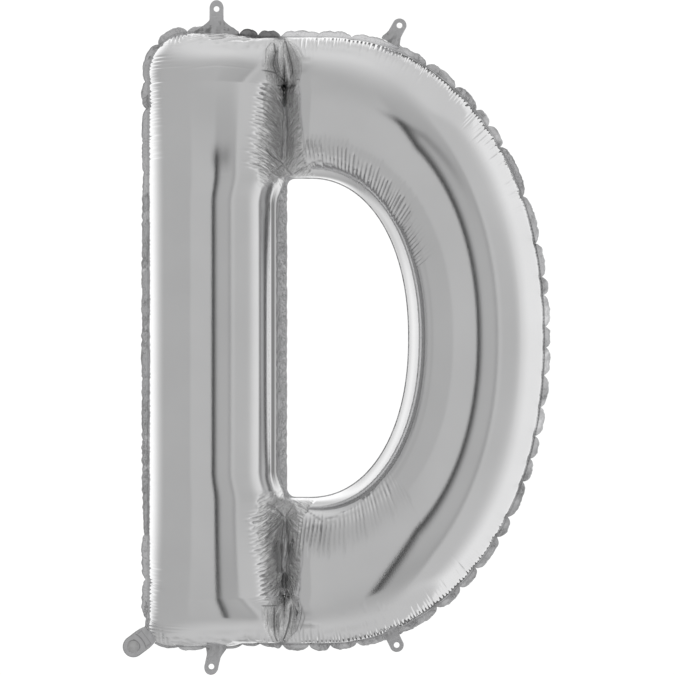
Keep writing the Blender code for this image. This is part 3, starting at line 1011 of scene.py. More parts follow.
def film_normals(points: Points) -> Points:
    """Unit normals of a grid, facing -Y: the cross product of the steps in its two directions."""
    down = np.gradient(points, axis=0)
    across = np.gradient(points, axis=1)
    normals = np.cross(across, down)
    normals /= np.maximum(np.linalg.norm(normals, axis=2, keepdims=True), 1e-12)
    middle = normals[normals.shape[0] // 2, normals.shape[1] // 2, 1]
    return normals if middle < 0 else -normals


def spaced(edge: float, near: int, middle: int) -> Values:
    """Shares from 0 to 1, close together near both ends.

    Args:
        edge: share of the way at each end that is close.
        near: steps in each end.
        middle: steps between them.

    Returns:
        The shares.
    """
    first = np.linspace(0, edge, near + 1)[:-1]
    between = np.linspace(edge, 1 - edge, middle + 1)[:-1]
    return np.concatenate([first, between, np.linspace(1 - edge, 1, near + 1)])


def crumple(across: Values, away: Values, seed: int) -> Values:
    """Sharp random folds of a junction's wall: ridges of two random surfaces, coarse and fine.

    Args:
        across: distance across the folds.
        away: distance along them, from the junction.
        seed: picks the surfaces.

    Returns:
        Heights about 0, in metres.
    """
    coarse = 0.5 - np.abs(rumple(across, away, 0.0075, 0.024, seed))
    fine = 0.5 - np.abs(rumple(across, away, 0.0040, 0.011, seed + 1))
    return 0.0022 * coarse + 0.0009 * fine


def add_folds(height: Values, runs: tuple, along: Values, inward: Values, seed: int) -> None:
    """Adds runs of folds to a film's heights in place, each with its own seed.

    Args:
        height: the heights.
        runs: the runs of folds.
        along: distance along the weld.
        inward: distance from the weld on the film.
        seed: picks the first run, and the others in steps of 10.
    """
    for index, run in enumerate(runs):
        height += run.height(along, inward, seed + 10 * index)


def film_shadow(x: Values, z: Values, height: Values, stitches: Values, over: Values) -> Values:
    """Painted shade of a panel's film: the darkest of its creases, valleys, stitches and passages.

    Args:
        x: the smooth film's x.
        z: its height in the letter.
        height: height of the folds over it.
        stitches: painted shade of the pinches' stitches.
        over: 1 on a gas passage.

    Returns:
        Painted shade from 0 to 1.
    """
    valleys = VALLEY_SHADE * np.clip(-height / SHADED_DEPTH, 0, 1) ** 1.6
    shadow = np.maximum(crease_shadow(x, z), valleys)
    return np.maximum(np.maximum(shadow, stitches), PASSAGE_SHADE * over)


# painted shade: in the folds' valleys and over the gas passages
VALLEY_SHADE = 0.45
SHADED_DEPTH = 0.0028  # depth at which a fold's valley is at its darkest
PASSAGE_SHADE = 0.14
PULL_FADE = 0.012  # over which the film follows the seam where a pinch draws it in
RELIEF_EDGE = 0.006  # over which the junctions' folds begin at a weld
WAVE_HEIGHT = 0.0001
WAVE_EDGE = 0.02  # over which the film's long waves begin at a weld
INNER_RIDGE = 0.062  # distance of the bowl's inner fold from the counter's weld
STEM_SEAM_TURN = 112  # degrees: where on the stem's top seam distances are counted from
TEETH_PITCH = 0.0047  # spacing of the dark teeth along the outer weld


@dataclass
class PanelFilm:
    """A part of one panel's film, which is laid on the front or the back."""

    side: Side
    part: ClassVar[str]
    turned: ClassVar[Side]
    front_seed: ClassVar[int]

    @property
    def seed(self) -> int:
        """The first number that its folds are drawn from."""
        return self.front_seed if self.side is Side.FRONT else self.front_seed + 200

    def folded(self, seam: OuterSeam) -> tuple[Points, Points, dict[str, Values]]:
        """The film with its folds, and its own coordinates.

        Args:
            seam: the outer seam's tables.

        Returns:
            The grid of points, the grid of distances along and from the nearest weld, and the marks
            of the crinkled walls, the gas passages and the painted shade of its creases and folds, with
            the distance from the junction.
        """
        raise NotImplementedError

    def make(self, seam: OuterSeam, material: bpy.types.Material) -> None:
        """Builds and dresses the piece."""
        points, places, marks = self.folded(seam)
        points[..., 1] *= -self.side.value
        word, flip = self.side.name.lower(), self.side is self.turned
        piece = surface(f"{word}_panel_{self.part}", points, flip, places, marks)
        finish_piece(piece, material, "silver_foil", f"{word}_panel")


@dataclass
class StemFilm(PanelFilm):
    """A panel's stem: a tube's half, closed at top and bottom, open to the bowl at the passages."""

    part: ClassVar[str] = "stem"
    turned: ClassVar[Side] = Side.BACK
    front_seed: ClassVar[int] = 11
    rows: int = 1020
    near: int = 30
    middle: int = 28

    def heights(self) -> Values:
        """Heights of the rows, evenly spaced along the stem's crest from the top weld down."""
        way = (1 + np.cos(np.linspace(0, math.pi, 6000))) / 2
        z = LETTER.bottom + (LETTER.top - LETTER.bottom) * way
        crest = np.column_stack([z, LETTER.stem_depth * LETTER.stem_rise(z)])
        along = travel(crest)
        return np.interp(np.linspace(0, along[-1], self.rows + 1), along, z)

    def smooth(self) -> Points:
        """The film without folds: across, x goes as a cosine and depth as a sine."""
        z = self.heights()[:, None]
        s = spaced(0.25, self.near, self.middle)[None, :]
        left = LETTER.stem_edge(z)
        beside = LETTER.beside_counter(z, 0.0, LETTER.corner_ease)
        right = LETTER.junction_x + (LETTER.stem_right - LETTER.junction_x) * beside
        x = left + (right - left) * (1 - np.cos(np.pi * s)) / 2
        depth = LETTER.stem_depth * LETTER.stem_rise(z) * np.sin(np.pi * s)
        depth = depth * (1 - LETTER.welded(z) * (1 - LETTER.valley_floor(right - x)))
        y = LETTER.rim + depth + LETTER.junction_depth(z) * s**4
        return np.stack([x, -y, z + LETTER.bend(x, z)], axis=-1)

    def folded(self, seam: OuterSeam) -> tuple[Points, Points, dict[str, Values]]:
        """The stem's film with its folds."""
        base, seed = self.smooth(), self.seed
        x, z = base[..., 0], base[..., 2]
        from_left, from_right = edge_travels(base, 1)
        from_top, from_bottom = edge_travels(base, 0)
        height = np.zeros_like(x)
        add_folds(height, STEM_LEFT_FOLDS, z, from_left, seed)
        add_folds(height, STEM_RIGHT_FOLDS, z, from_right, seed + 100)
        add_folds(height, STEM_WALL_FOLDS, z, from_right + 0.075 - self.reach(z), seed + 150)
        add_folds(height, STEM_TOP_FOLDS, x, from_top, seed + 200)
        add_folds(height, STEM_BOTTOM_FOLDS, x, from_bottom, seed + 300)
        waves = WAVE_HEIGHT * rumple(x, z, 0.090, 0.300, seed)
        height += waves * eased(from_left / WAVE_EDGE) * eased(from_right / WAVE_EDGE)
        wall = self.wall(z, from_right)
        height += wall * crumple(np.abs(z) - 0.5 * from_right, from_right, seed + 3)
        left_along, top_along, bottom_along = self.seam_places(seam, x, z)
        stitches = np.zeros_like(x)
        for along, inward in (
            (left_along, from_left),
            (top_along, from_top),
            (bottom_along, from_bottom),
        ):
            height -= seam.groove(along, inward)
            stitches = np.maximum(stitches, seam.stitches(along, inward))
        folded = base + film_normals(base) * height[..., None]
        relief = junction_relief(x, z) * eased(from_top / RELIEF_EDGE)
        relief = relief * eased(from_bottom / RELIEF_EDGE)
        folded[..., 1] = np.minimum(folded[..., 1] - relief, -LETTER.rim)
        folded[..., 0] += seam.pull(left_along) * np.exp(-from_left / PULL_FADE)
        folded[..., 2] -= seam.pull(top_along) * np.exp(-from_top / PULL_FADE)
        folded[..., 2] += seam.pull(bottom_along) * np.exp(-from_bottom / PULL_FADE)
        nearest = np.minimum(np.minimum(from_left, from_right), np.minimum(from_top, from_bottom))
        over = passage(x, z)
        beside = LETTER.beside_counter(z, 0.010, 0.030)
        # painted shade of the stem's film: its creases, fold valleys, stitches and gas passages
        shadow = film_shadow(x, z, height, stitches, over)
        # painted lines of shade and reflection beside the counter's weld
        for place, width, strength in BESIDE_COUNTER:
            bell = np.exp(-(((from_right - place) / width) ** 2))
            shadow = np.maximum(shadow, beside * strength * bell)
        marks = {
            "wall": wall * (1 - over),
            "junction": from_right,
            "passage": over,
            "shadow": shadow,
        }
        return folded, np.stack([z, nearest], axis=-1), marks

    def wall(self, z: Values, from_right: Values) -> Values:
        """1 on the crinkled wall beside a junction, up to where the stretched film begins."""
        past = np.abs(z - LETTER.counter_centre_z) - LETTER.counter_half_height
        above = eased((past + 0.022) / 0.036) * eased((0.136 - past) / 0.014)
        return above * eased(from_right / 0.003) * eased((self.reach(z) - from_right) / 0.006)

    def reach(self, z: Values) -> Values:
        """Film distance from the junction to where the wall ends, less towards the passage."""
        past = np.abs(z - LETTER.counter_centre_z) - LETTER.counter_half_height
        return 0.050 + 0.34 * np.clip(0.127 - past, 0, 0.086)

    def seam_places(self, seam: OuterSeam, x: Values, z: Values) -> tuple[Values, Values, Values]:
        """Distances along the seam beside each point: on its left side, over it and under it.

        Args:
            seam: the outer seam's tables.
            x: the smooth film's x.
            z: its height.

        Returns:
            The three distances.
        """
        top, bottom = seam.at(STEM_SEAM_TURN), seam.at(-STEM_SEAM_TURN)
        side = (seam.line[:, 0] < LETTER.stem_left + 0.02) & (seam.along < top)
        top_x, bottom_x = (np.interp(place, seam.along, seam.line[:, 0]) for place in (top, bottom))
        left = np.interp(z, seam.line[side, 1], seam.along[side])
        return left, top + (x - top_x), bottom - (x - bottom_x)


@dataclass
class BowlFilm(PanelFilm):
    """A panel's bowl: a curved tube's half between outer seam and counter, junction to junction."""

    part: ClassVar[str] = "bowl"
    turned: ClassVar[Side] = Side.FRONT
    front_seed: ClassVar[int] = 17
    rows: int = 1340
    near: int = 24
    middle: int = 18

    def smooth(self) -> tuple[Points, Values, Values]:
        """The film without folds, with the distance along the outer and inner seam at each row."""
        outer, inner = LETTER.bowl_lines(self.rows + 1)
        along = travel((outer + inner) / 2)
        rise = LETTER.bowl_rise(along) * LETTER.bowl_rise(along[-1] - along)
        rise = rise[:, None]
        s = spaced(0.30, self.near, self.middle)[None, :]
        spread = (1 - np.cos(np.pi * s)) / 2
        x = outer[:, :1] + (inner[:, :1] - outer[:, :1]) * spread
        z = outer[:, 1:] + (inner[:, 1:] - outer[:, 1:]) * spread
        near = np.minimum(along, along[-1] - along)[:, None]
        depth = LETTER.bowl_depth * rise * np.sin(np.pi * s)
        depth = depth * (1 - LETTER.welded(z) * (1 - LETTER.valley_floor(near)))
        y = LETTER.rim + depth + LETTER.junction_depth(z) * (1 - rise) ** 2
        return np.stack([x, -y, z], axis=-1), travel(outer), travel(inner)

    def folded(self, seam: OuterSeam) -> tuple[Points, Points, dict[str, Values]]:
        """The bowl's film with its folds."""
        base, outer_along, inner_along = self.smooth()
        seed, x, z = self.seed, base[..., 0], base[..., 2]
        from_outer, from_inner = edge_travels(base, 1)
        from_upper, from_lower = edge_travels(base, 0)
        start = seam.at(math.degrees(math.atan2(LETTER.top, LETTER.junction_x)))
        seam_along = np.broadcast_to((start + outer_along)[:, None], x.shape)
        share = np.broadcast_to((inner_along / inner_along[-1])[:, None], x.shape)
        inner_place = share * inner_along[-1]
        corner = np.minimum(inner_along, inner_along[-1] - inner_along)[:, None]
        near_junction = np.minimum(from_upper, from_lower)
        wall = self.wall(z, near_junction)
        height = np.zeros_like(x)
        add_folds(height, BOWL_OUTER_FOLDS, seam_along - start, from_outer, seed)
        add_folds(height, BOWL_INNER_FOLDS, inner_place, from_inner, seed + 100)
        add_folds(height, BOWL_JUNCTION_FOLDS, z, from_upper, seed + 200)
        add_folds(height, BOWL_JUNCTION_FOLDS, -z, from_lower, seed + 300)
        away = eased(from_outer / WAVE_EDGE) * eased(from_inner / WAVE_EDGE)
        height += WAVE_HEIGHT * rumple(seam_along, from_outer, 0.240, 0.090, seed) * away
        crinkles = crumple(np.abs(z) - 0.5 * near_junction, near_junction, seed + 3)
        height += 0.6 * wall * crinkles
        height += self.inner_ridge(corner, from_inner)
        height -= seam.groove(seam_along, from_outer)
        folded = base + film_normals(base) * height[..., None]
        relief = junction_relief(x, z) * eased(from_outer / RELIEF_EDGE)
        folded[..., 1] = np.minimum(folded[..., 1] - relief, -LETTER.rim)
        normals = outward(base[:, 0, ::2])
        pull = (seam.pull(seam_along) * np.exp(-from_outer / PULL_FADE))[..., None]
        folded[..., ::2] -= normals[:, None, :] * pull
        over = passage(x, z)
        # painted shade of the bowl's film: its creases, fold valleys, stitches and gas passages
        shadow = film_shadow(x, z, height, seam.stitches(seam_along, from_outer), over)
        shadow = np.maximum(shadow, self.right_teeth(z, seam_along, from_outer))
        shadow = np.maximum(shadow, self.round_counter(inner_along[:, None], corner, from_inner))
        marks = {
            "wall": wall * (1 - over),
            "junction": near_junction,
            "passage": over,
            "shadow": shadow,
        }
        nearest = np.minimum(np.minimum(from_outer, from_inner), near_junction)
        return folded, np.stack([seam_along, nearest], axis=-1), marks

    def wall(self, z: Values, near_junction: Values) -> Values:
        """1 on the crinkled wall beside a junction, and 0 elsewhere."""
        reach = np.interp(np.abs(z - BOWL_WALL_MIDDLE), *BOWL_WALL_REACH)
        wall = eased(near_junction / 0.003) * eased((reach - near_junction) / 0.004)
        return wall * LETTER.welded(z)

    def inner_ridge(self, corner: Values, from_inner: Values) -> Values:
        """Height of the ridge that crosses the film by each of the counter's corners.

        Args:
            corner: distance along the counter's weld from its nearer corner.
            from_inner: distance from that weld on the film.

        Returns:
            Heights, 0 or more: straight slopes, with the crest waved along it.
        """
        ridge = INNER_RIDGE * eased(corner / 0.030)
        line = np.maximum(1 - np.abs(from_inner - ridge) / 0.0022, 0)
        line = line * eased((0.135 - corner) / 0.030)
        crest = 0.7 + 0.6 * wander(corner, 0.0030, self.seed + 5)
        return 0.0016 * line * crest * eased(corner / 0.010)

    def right_teeth(self, z: Values, seam_along: Values, from_outer: Values) -> Values:
        """Painted shadow in a band of teeth along the outer weld on the bowl's right."""
        teeth = 0.65 + 0.20 * np.sin(seam_along * 2 * math.pi / TEETH_PITCH)
        right = eased((0.230 - np.abs(z - 0.005)) / 0.080) * teeth
        return right * np.exp(-((from_outer / 0.010) ** 2))

    def round_counter(self, inner_along: Values, corner: Values, from_inner: Values) -> Values:
        """Painted shade of the folds round the counter, the first of them wider at the upper right.

        Args:
            inner_along: distance along the counter's weld.
            corner: distance along it from its nearer corner.
            from_inner: distance from it on the film.

        Returns:
            Painted shade from 0 to 1.
        """
        upper_right = np.exp(-(((inner_along - 0.180) / 0.060) ** 2))
        shadow = np.zeros_like(from_inner)
        for place, width, strength in ROUND_COUNTER:
            wide = width * (1 + 0.5 * upper_right * (place == 0))
            line = strength * np.exp(-(((from_inner - place) / wide) ** 2))
            shadow = np.maximum(shadow, line * eased((corner - 0.070) / 0.050))
        return shadow


BOWL_WALL_MIDDLE = 0.004
BOWL_WALL_REACH = (
    # height over or under that middle, rising, and how far the crinkled wall reaches there
    (0.235, 0.293, 0.322, 0.350),
    (0.050, 0.062, 0.058, 0.036),
)


BESIDE_COUNTER = (
    # the folds of the stem's film along its weld beside the counter, painted as lines of shade and reflection:
    # distance from the weld, half-width, darkness
    (0.0386, 0.0028, 0.97),
    (0.0335, 0.0045, 0.88),
    (0.0230, 0.0090, 0.58),
    (0.0665, 0.0020, 0.26),
)
ROUND_COUNTER = (
    # painted shade of the folds of the bowl's film round the counter: distance from the weld, half-width, darkness
    (0.0000, 0.0230, 0.74),
    (0.0350, 0.0020, 0.08),
    (0.0700, 0.0030, 0.10),
)
STEM_LEFT_FOLDS = (
    # start, end, pitch, depth, hold, fade
    Folds(-0.417, -0.300, 0.0052, 0.0011, 0.022, 0.022),
    Folds(-0.310, 0.260, 0.0048, 0.0006, 0.014, 0.014),
    Folds(0.250, 0.405, 0.0052, 0.0012, 0.026, 0.026),
)
STEM_RIGHT_FOLDS = (
    Folds(LETTER.inner_bottom + 0.010, LETTER.inner_top - 0.010, 0.0050, 0.0005, 0.010, 0.010),
)
STEM_WALL_FOLDS = (
    # the comb of teeth along the fold, and the pleats that run from it down to the junction
    Folds(0.236, 0.366, 0.0061, 0.0026, 0.078, 0.005, begin=0.062, lean=-0.2),
    Folds(-0.364, -0.226, 0.0061, 0.0026, 0.078, 0.005, begin=0.062, lean=0.2),
    Folds(0.240, 0.362, 0.0047, 0.0017, 0.062, 0.006, begin=0.010, lean=-0.42),
    Folds(-0.360, -0.230, 0.0047, 0.0017, 0.062, 0.006, begin=0.010, lean=0.42),
)
STEM_TOP_FOLDS = (Folds(-0.255, -0.100, 0.0056, 0.0014, 0.034, 0.014, begin=0.008),)
STEM_BOTTOM_FOLDS = (Folds(-0.268, -0.100, 0.0056, 0.0013, 0.030, 0.012, begin=0.008),)
BOWL_OUTER_FOLDS = (
    Folds(0.010, 0.200, 0.0056, 0.0013, 0.032, 0.014, begin=0.010),
    Folds(0.190, 0.480, 0.0050, 0.0012, 0.030, 0.018, begin=0.012),
    Folds(0.470, 0.900, 0.0042, 0.0007, 0.012, 0.012),
    Folds(0.890, 1.190, 0.0050, 0.0010, 0.028, 0.020, begin=0.010),
    Folds(1.180, 1.400, 0.0056, 0.0013, 0.032, 0.014, begin=0.010),
)
BOWL_INNER_FOLDS = (
    Folds(0.020, 0.185, 0.0050, 0.0026, 0.076, 0.008, begin=0.046, lean=0.2),
    Folds(0.014, 0.120, 0.0034, 0.0007, 0.050, 0.006, begin=0.024, lean=0.5),
    Folds(0.165, 0.240, 0.0046, 0.0009, 0.078, 0.010, begin=0.050, lean=0.2),
    Folds(0.220, 0.560, 0.0050, 0.0003, 0.012, 0.012),
    Folds(0.500, 0.620, 0.0050, 0.0016, 0.092, 0.014, begin=0.056, lean=-0.2),
    Folds(0.665, 0.771, 0.0034, 0.0007, 0.050, 0.006, begin=0.024, lean=-0.5),
    Folds(0.600, 0.765, 0.0050, 0.0028, 0.080, 0.012, begin=0.046, lean=-0.2),
)
BOWL_JUNCTION_FOLDS = (
    Folds(0.354, 0.396, 0.0046, 0.0024, 0.038, 0.008, begin=0.014),
)


@dataclass
class OuterWeld:
    """The welded band round the letter: two films fused flat, scalloped and crinkled, open at the neck."""

    width: float = 0.0095
    under: float = 0.0035
    thickness: float = 0.0006
    step: float = 0.0010
    columns: int = 9
    start: float = 0.0185
    end: float = 0.0050

    def points(self, seam: OuterSeam) -> tuple[Points, Points, dict[str, Values]]:
        """Across the band the way goes from under the film to its scalloped edge; y waves more towards the edge.

        Args:
            seam: the outer seam's tables.

        Returns:
            The grid of points, the band's own coordinates, and the marks of its painted shade lines and painted light.
        """
        along = np.arange(self.start, seam.along[-1] - self.end, self.step)[:, None]
        line = np.stack([np.interp(along[:, 0], seam.along, seam.line[:, k]) for k in (0, 1)], axis=-1)
        normals = np.stack([np.interp(along[:, 0], seam.along, seam.normals[:, k]) for k in (0, 1)], axis=-1)
        share = np.linspace(0, 1, self.columns + 1)[None, :]
        angle = np.interp(along, seam.along, seam.bearing)
        seen = np.interp(np.where(angle > 180, angle - 360, angle), *HIDDEN_WELD)
        width = self.width * seen * seam.band(along) * (1 + 0.10 * wander(along, 0.006, 31) + 0.05 * wander(along, 0.0027, 32))
        out = -self.under + (self.under + width) * share - seam.pull(along)
        flat = line[:, None, :] + normals[:, None, :] * out[..., None]
        free = eased((out + 0.001) / 0.009)
        wave = 0.0016 * wander(along, 0.017, 33) + 0.0011 * wander(along + 0.4 * out, 0.0068, 34)
        lean = seam.by_direction(along, 1) + 0.28 * seam.tilt(along)
        y = free * wave + lean * np.maximum(out, 0)
        points = np.stack([flat[..., 0], y, flat[..., 1]], axis=-1)
        # painted shade: a toothed contact shadow where the film meets the band, a dark line at its outer rim, and
        # darker stretches where the direction table is below 0; painted light where it is above 0
        teeth = 0.5 + 0.5 * np.sin(along * 2 * math.pi / TEETH_PITCH + 2 * wander(along, 0.011, 35))
        right = eased((45 - np.abs(angle)) / 15)
        seam_line = (0.20 + 0.10 * teeth + right * (0.40 + 0.25 * teeth)) * np.exp(-(((out - 0.0005) / 0.0011) ** 2))
        rim_line = 0.62 * eased((share - 0.86) / 0.06) * (0.55 + 0.45 * wander(along, 0.012, 36))
        tone = seam.by_direction(along, 2)
        shadow = np.maximum(seam_line, rim_line) + 0.68 * np.maximum(-tone, 0)
        marks = {"shadow": np.clip(shadow, 0, 0.9), "painted_light": np.broadcast_to(np.maximum(tone, 0), y.shape)}
        return points, np.stack([np.broadcast_to(along, y.shape), out], axis=-1), marks

    def make(self, seam: OuterSeam, material: bpy.types.Material) -> None:
        """Builds and dresses the piece."""
        points, places, marks = self.points(seam)
        piece = surface("outer_weld", points, True, places, marks)
        thicken(piece, self.thickness)
        finish_piece(piece, material, "welded_foil", "outer_seam")


@dataclass
class CounterWeld:
    """The welded band round the counter: wide and crinkled along the stem, drawn in out of sight along the bowl."""

    corner: float = 0.012
    under: float = 0.0035
    thickness: float = 0.0006
    step: float = 0.0010
    columns: int = 9

    def outlines(self) -> tuple[Points, Points]:
        """The hole's outline and the band's outer edge, paired point by point: straight, round corners, squared ellipse."""
        half = LETTER.counter_half_height
        middle = LETTER.counter_centre_z
        angles = np.radians(np.linspace(90, -90, 700))
        lines = []
        for left, grow, radius in (
            (LETTER.counter_left, 0.0, self.corner),
            (LETTER.stem_right - self.under, LETTER.counter_weld_bowl + self.under, 0.004),
        ):
            top, bottom = middle + half + grow, middle - half - grow
            curve = LETTER.superellipse(
                (LETTER.counter_centre_x, middle), LETTER.counter_half_width + grow, half + grow, angles
            )
            lower = arc((left + radius, bottom + radius), radius, 270, 180, 24)
            upper = arc((left + radius, top - radius), radius, 180, 90, 24)
            side = np.column_stack([np.full(460, left), np.linspace(bottom + radius, top - radius, 460)])
            lines.append(np.concatenate([curve, lower, side[1:-1], upper]))
        return lines[0], lines[1]

    def make(self, material: bpy.types.Material) -> None:
        """Builds and dresses the piece: a straight way from the band's outer edge to the hole's, waved in y."""
        hole, edge = self.outlines()
        hole, edge = (np.concatenate([line, line[:1]]) for line in (hole, edge))
        along = travel(hole)[:, None]
        share = np.linspace(0, 1, self.columns + 1)[None, :]
        flat = edge[:, None, :] + (hole - edge)[:, None, :] * share[..., None]
        width = np.linalg.norm(hole - edge, axis=1)[:, None]
        ripple = 0.0006 * wander(along, 0.005, 41) * eased((width - 0.009) / 0.004) * share**2
        out = width * share
        y = 0.0010 * wander(along + out, 0.0075, 42) + 0.0005 * rumple(along, out, 0.0030, 0.0024, 43)
        y = y * eased((out - self.under) / 0.004)
        points = np.stack([flat[..., 0] + ripple, y, flat[..., 1]], axis=-1)
        piece = surface("counter_weld", points, False, np.stack([np.broadcast_to(along, y.shape), out], axis=-1))
        thicken(piece, self.thickness)
        finish_piece(piece, material, "welded_foil", "counter_seam")


@dataclass
class Tab:
    """A hanging tab: a flared root on the weld, a strip, and a round end with a punched hole.

    Attributes:
        name: the solid that it stands for.
        root: where its axis meets the seam, x and z.
        hole: centre of the hole, x and z.
        flare: half the width of its root.
    """

    name: str
    root: tuple[float, float]
    hole: tuple[float, float]
    flare: float
    half_width: float = 0.0098
    hole_radius: float = 0.0040
    thickness: float = 0.0006
    tip: float = 0.0

    def frame(self) -> tuple[Points, Points, float]:
        """The tab's axis, its side direction, and the distance from root to hole."""
        way = np.array(self.hole) - np.array(self.root)
        length = float(np.linalg.norm(way))
        axis = way / length
        return axis, np.array([axis[1], -axis[0]]), length

    def end_points(self) -> Points:
        """Rings from the hole to the outline: a circle that grows into a square with its upper half round."""
        turn = np.linspace(0, TURN, RING_POINTS)[:, None]
        sine, cosine = np.sin(turn), np.cos(turn)
        square = self.half_width / np.maximum(np.abs(sine), np.abs(cosine))
        reach = np.where(sine > 0, self.half_width + self.tip * sine**2, square)
        share = np.linspace(0, 1, 7)[None, :]
        radius = self.hole_radius + (reach - self.hole_radius) * share
        return np.stack([radius * cosine, radius * sine], axis=-1)

    def strip_points(self, length: float) -> Points:
        """Rows from the root to the round end: half-width flares towards the root as a falling power."""
        far = length - self.half_width
        up = np.linspace(-0.003, far, 46)[:, None]
        flare = (self.flare - self.half_width) * np.clip(1 - (up - 0.001) / (0.72 * far), 0, 1) ** 1.3
        across = np.linspace(-1, 1, 25)[None, :]
        return np.stack([(self.half_width + flare) * across, np.broadcast_to(up - length, (46, 25))], axis=-1)

    def make(self, material: bpy.types.Material, seed: int) -> None:
        """Builds and dresses the tab, waved in y most at its root."""
        axis, side, length = self.frame()
        grids = [self.strip_points(length), self.end_points()]
        sheets = []
        for grid in grids:
            across, up = grid[..., 0], grid[..., 1]
            place = np.array(self.hole) + across[..., None] * side + up[..., None] * axis
            near_root = eased(-(up + 0.008) / 0.022)
            y = 0.0007 * near_root * rumple(across, up, 0.0050, 0.0110, seed)
            y += 0.0001 * rumple(across, up, 0.0040, 0.0045, seed + 1)
            y += 0.0010 * np.sin(up * 90) - 0.0010 * near_root
            share = np.linspace(0, 1, y.shape[1])[None, :]
            # painted shade: a dark outline round the tab and its hole, dark crinkles and a darker root
            if grid is grids[0]:
                rim = eased((np.abs(2 * share - 1) - 0.90) / 0.08)
            else:
                rim = np.where(up < 0.001, 0.0, eased((share - 0.88) / 0.10)) + 0.5 * eased((0.2 - share) / 0.15)
            crinkle_shade = near_root * eased((rumple(across, up, 0.0028, 0.0060, seed + 2) - 0.25) / 0.25)
            shadow = np.maximum(0.50 * np.broadcast_to(rim, y.shape), 0.45 * crinkle_shade) + 0.16 * near_root
            sheets.append((np.stack([place[..., 0], y, place[..., 1]], axis=-1), grid, shadow))
        piece = joined(self.name + "_foil", sheets)
        thicken(piece, self.thickness)
        finish_piece(piece, material, "welded_foil", self.name)


TABS = (
    Tab("tab_top_left", (-0.1812, 0.4363), (-0.1812, 0.4690), 0.0310, tip=0.0026),
    Tab("tab_top_right", (0.0630, 0.4242), (0.0749, 0.4460), 0.0135),
    Tab("tab_bottom_left", (-0.1820, -0.4230), (-0.1884, -0.4515), 0.0150, tip=0.0020),
    Tab("tab_bottom_right", (0.0616, -0.4018), (0.0710, -0.4214), 0.0135),
)


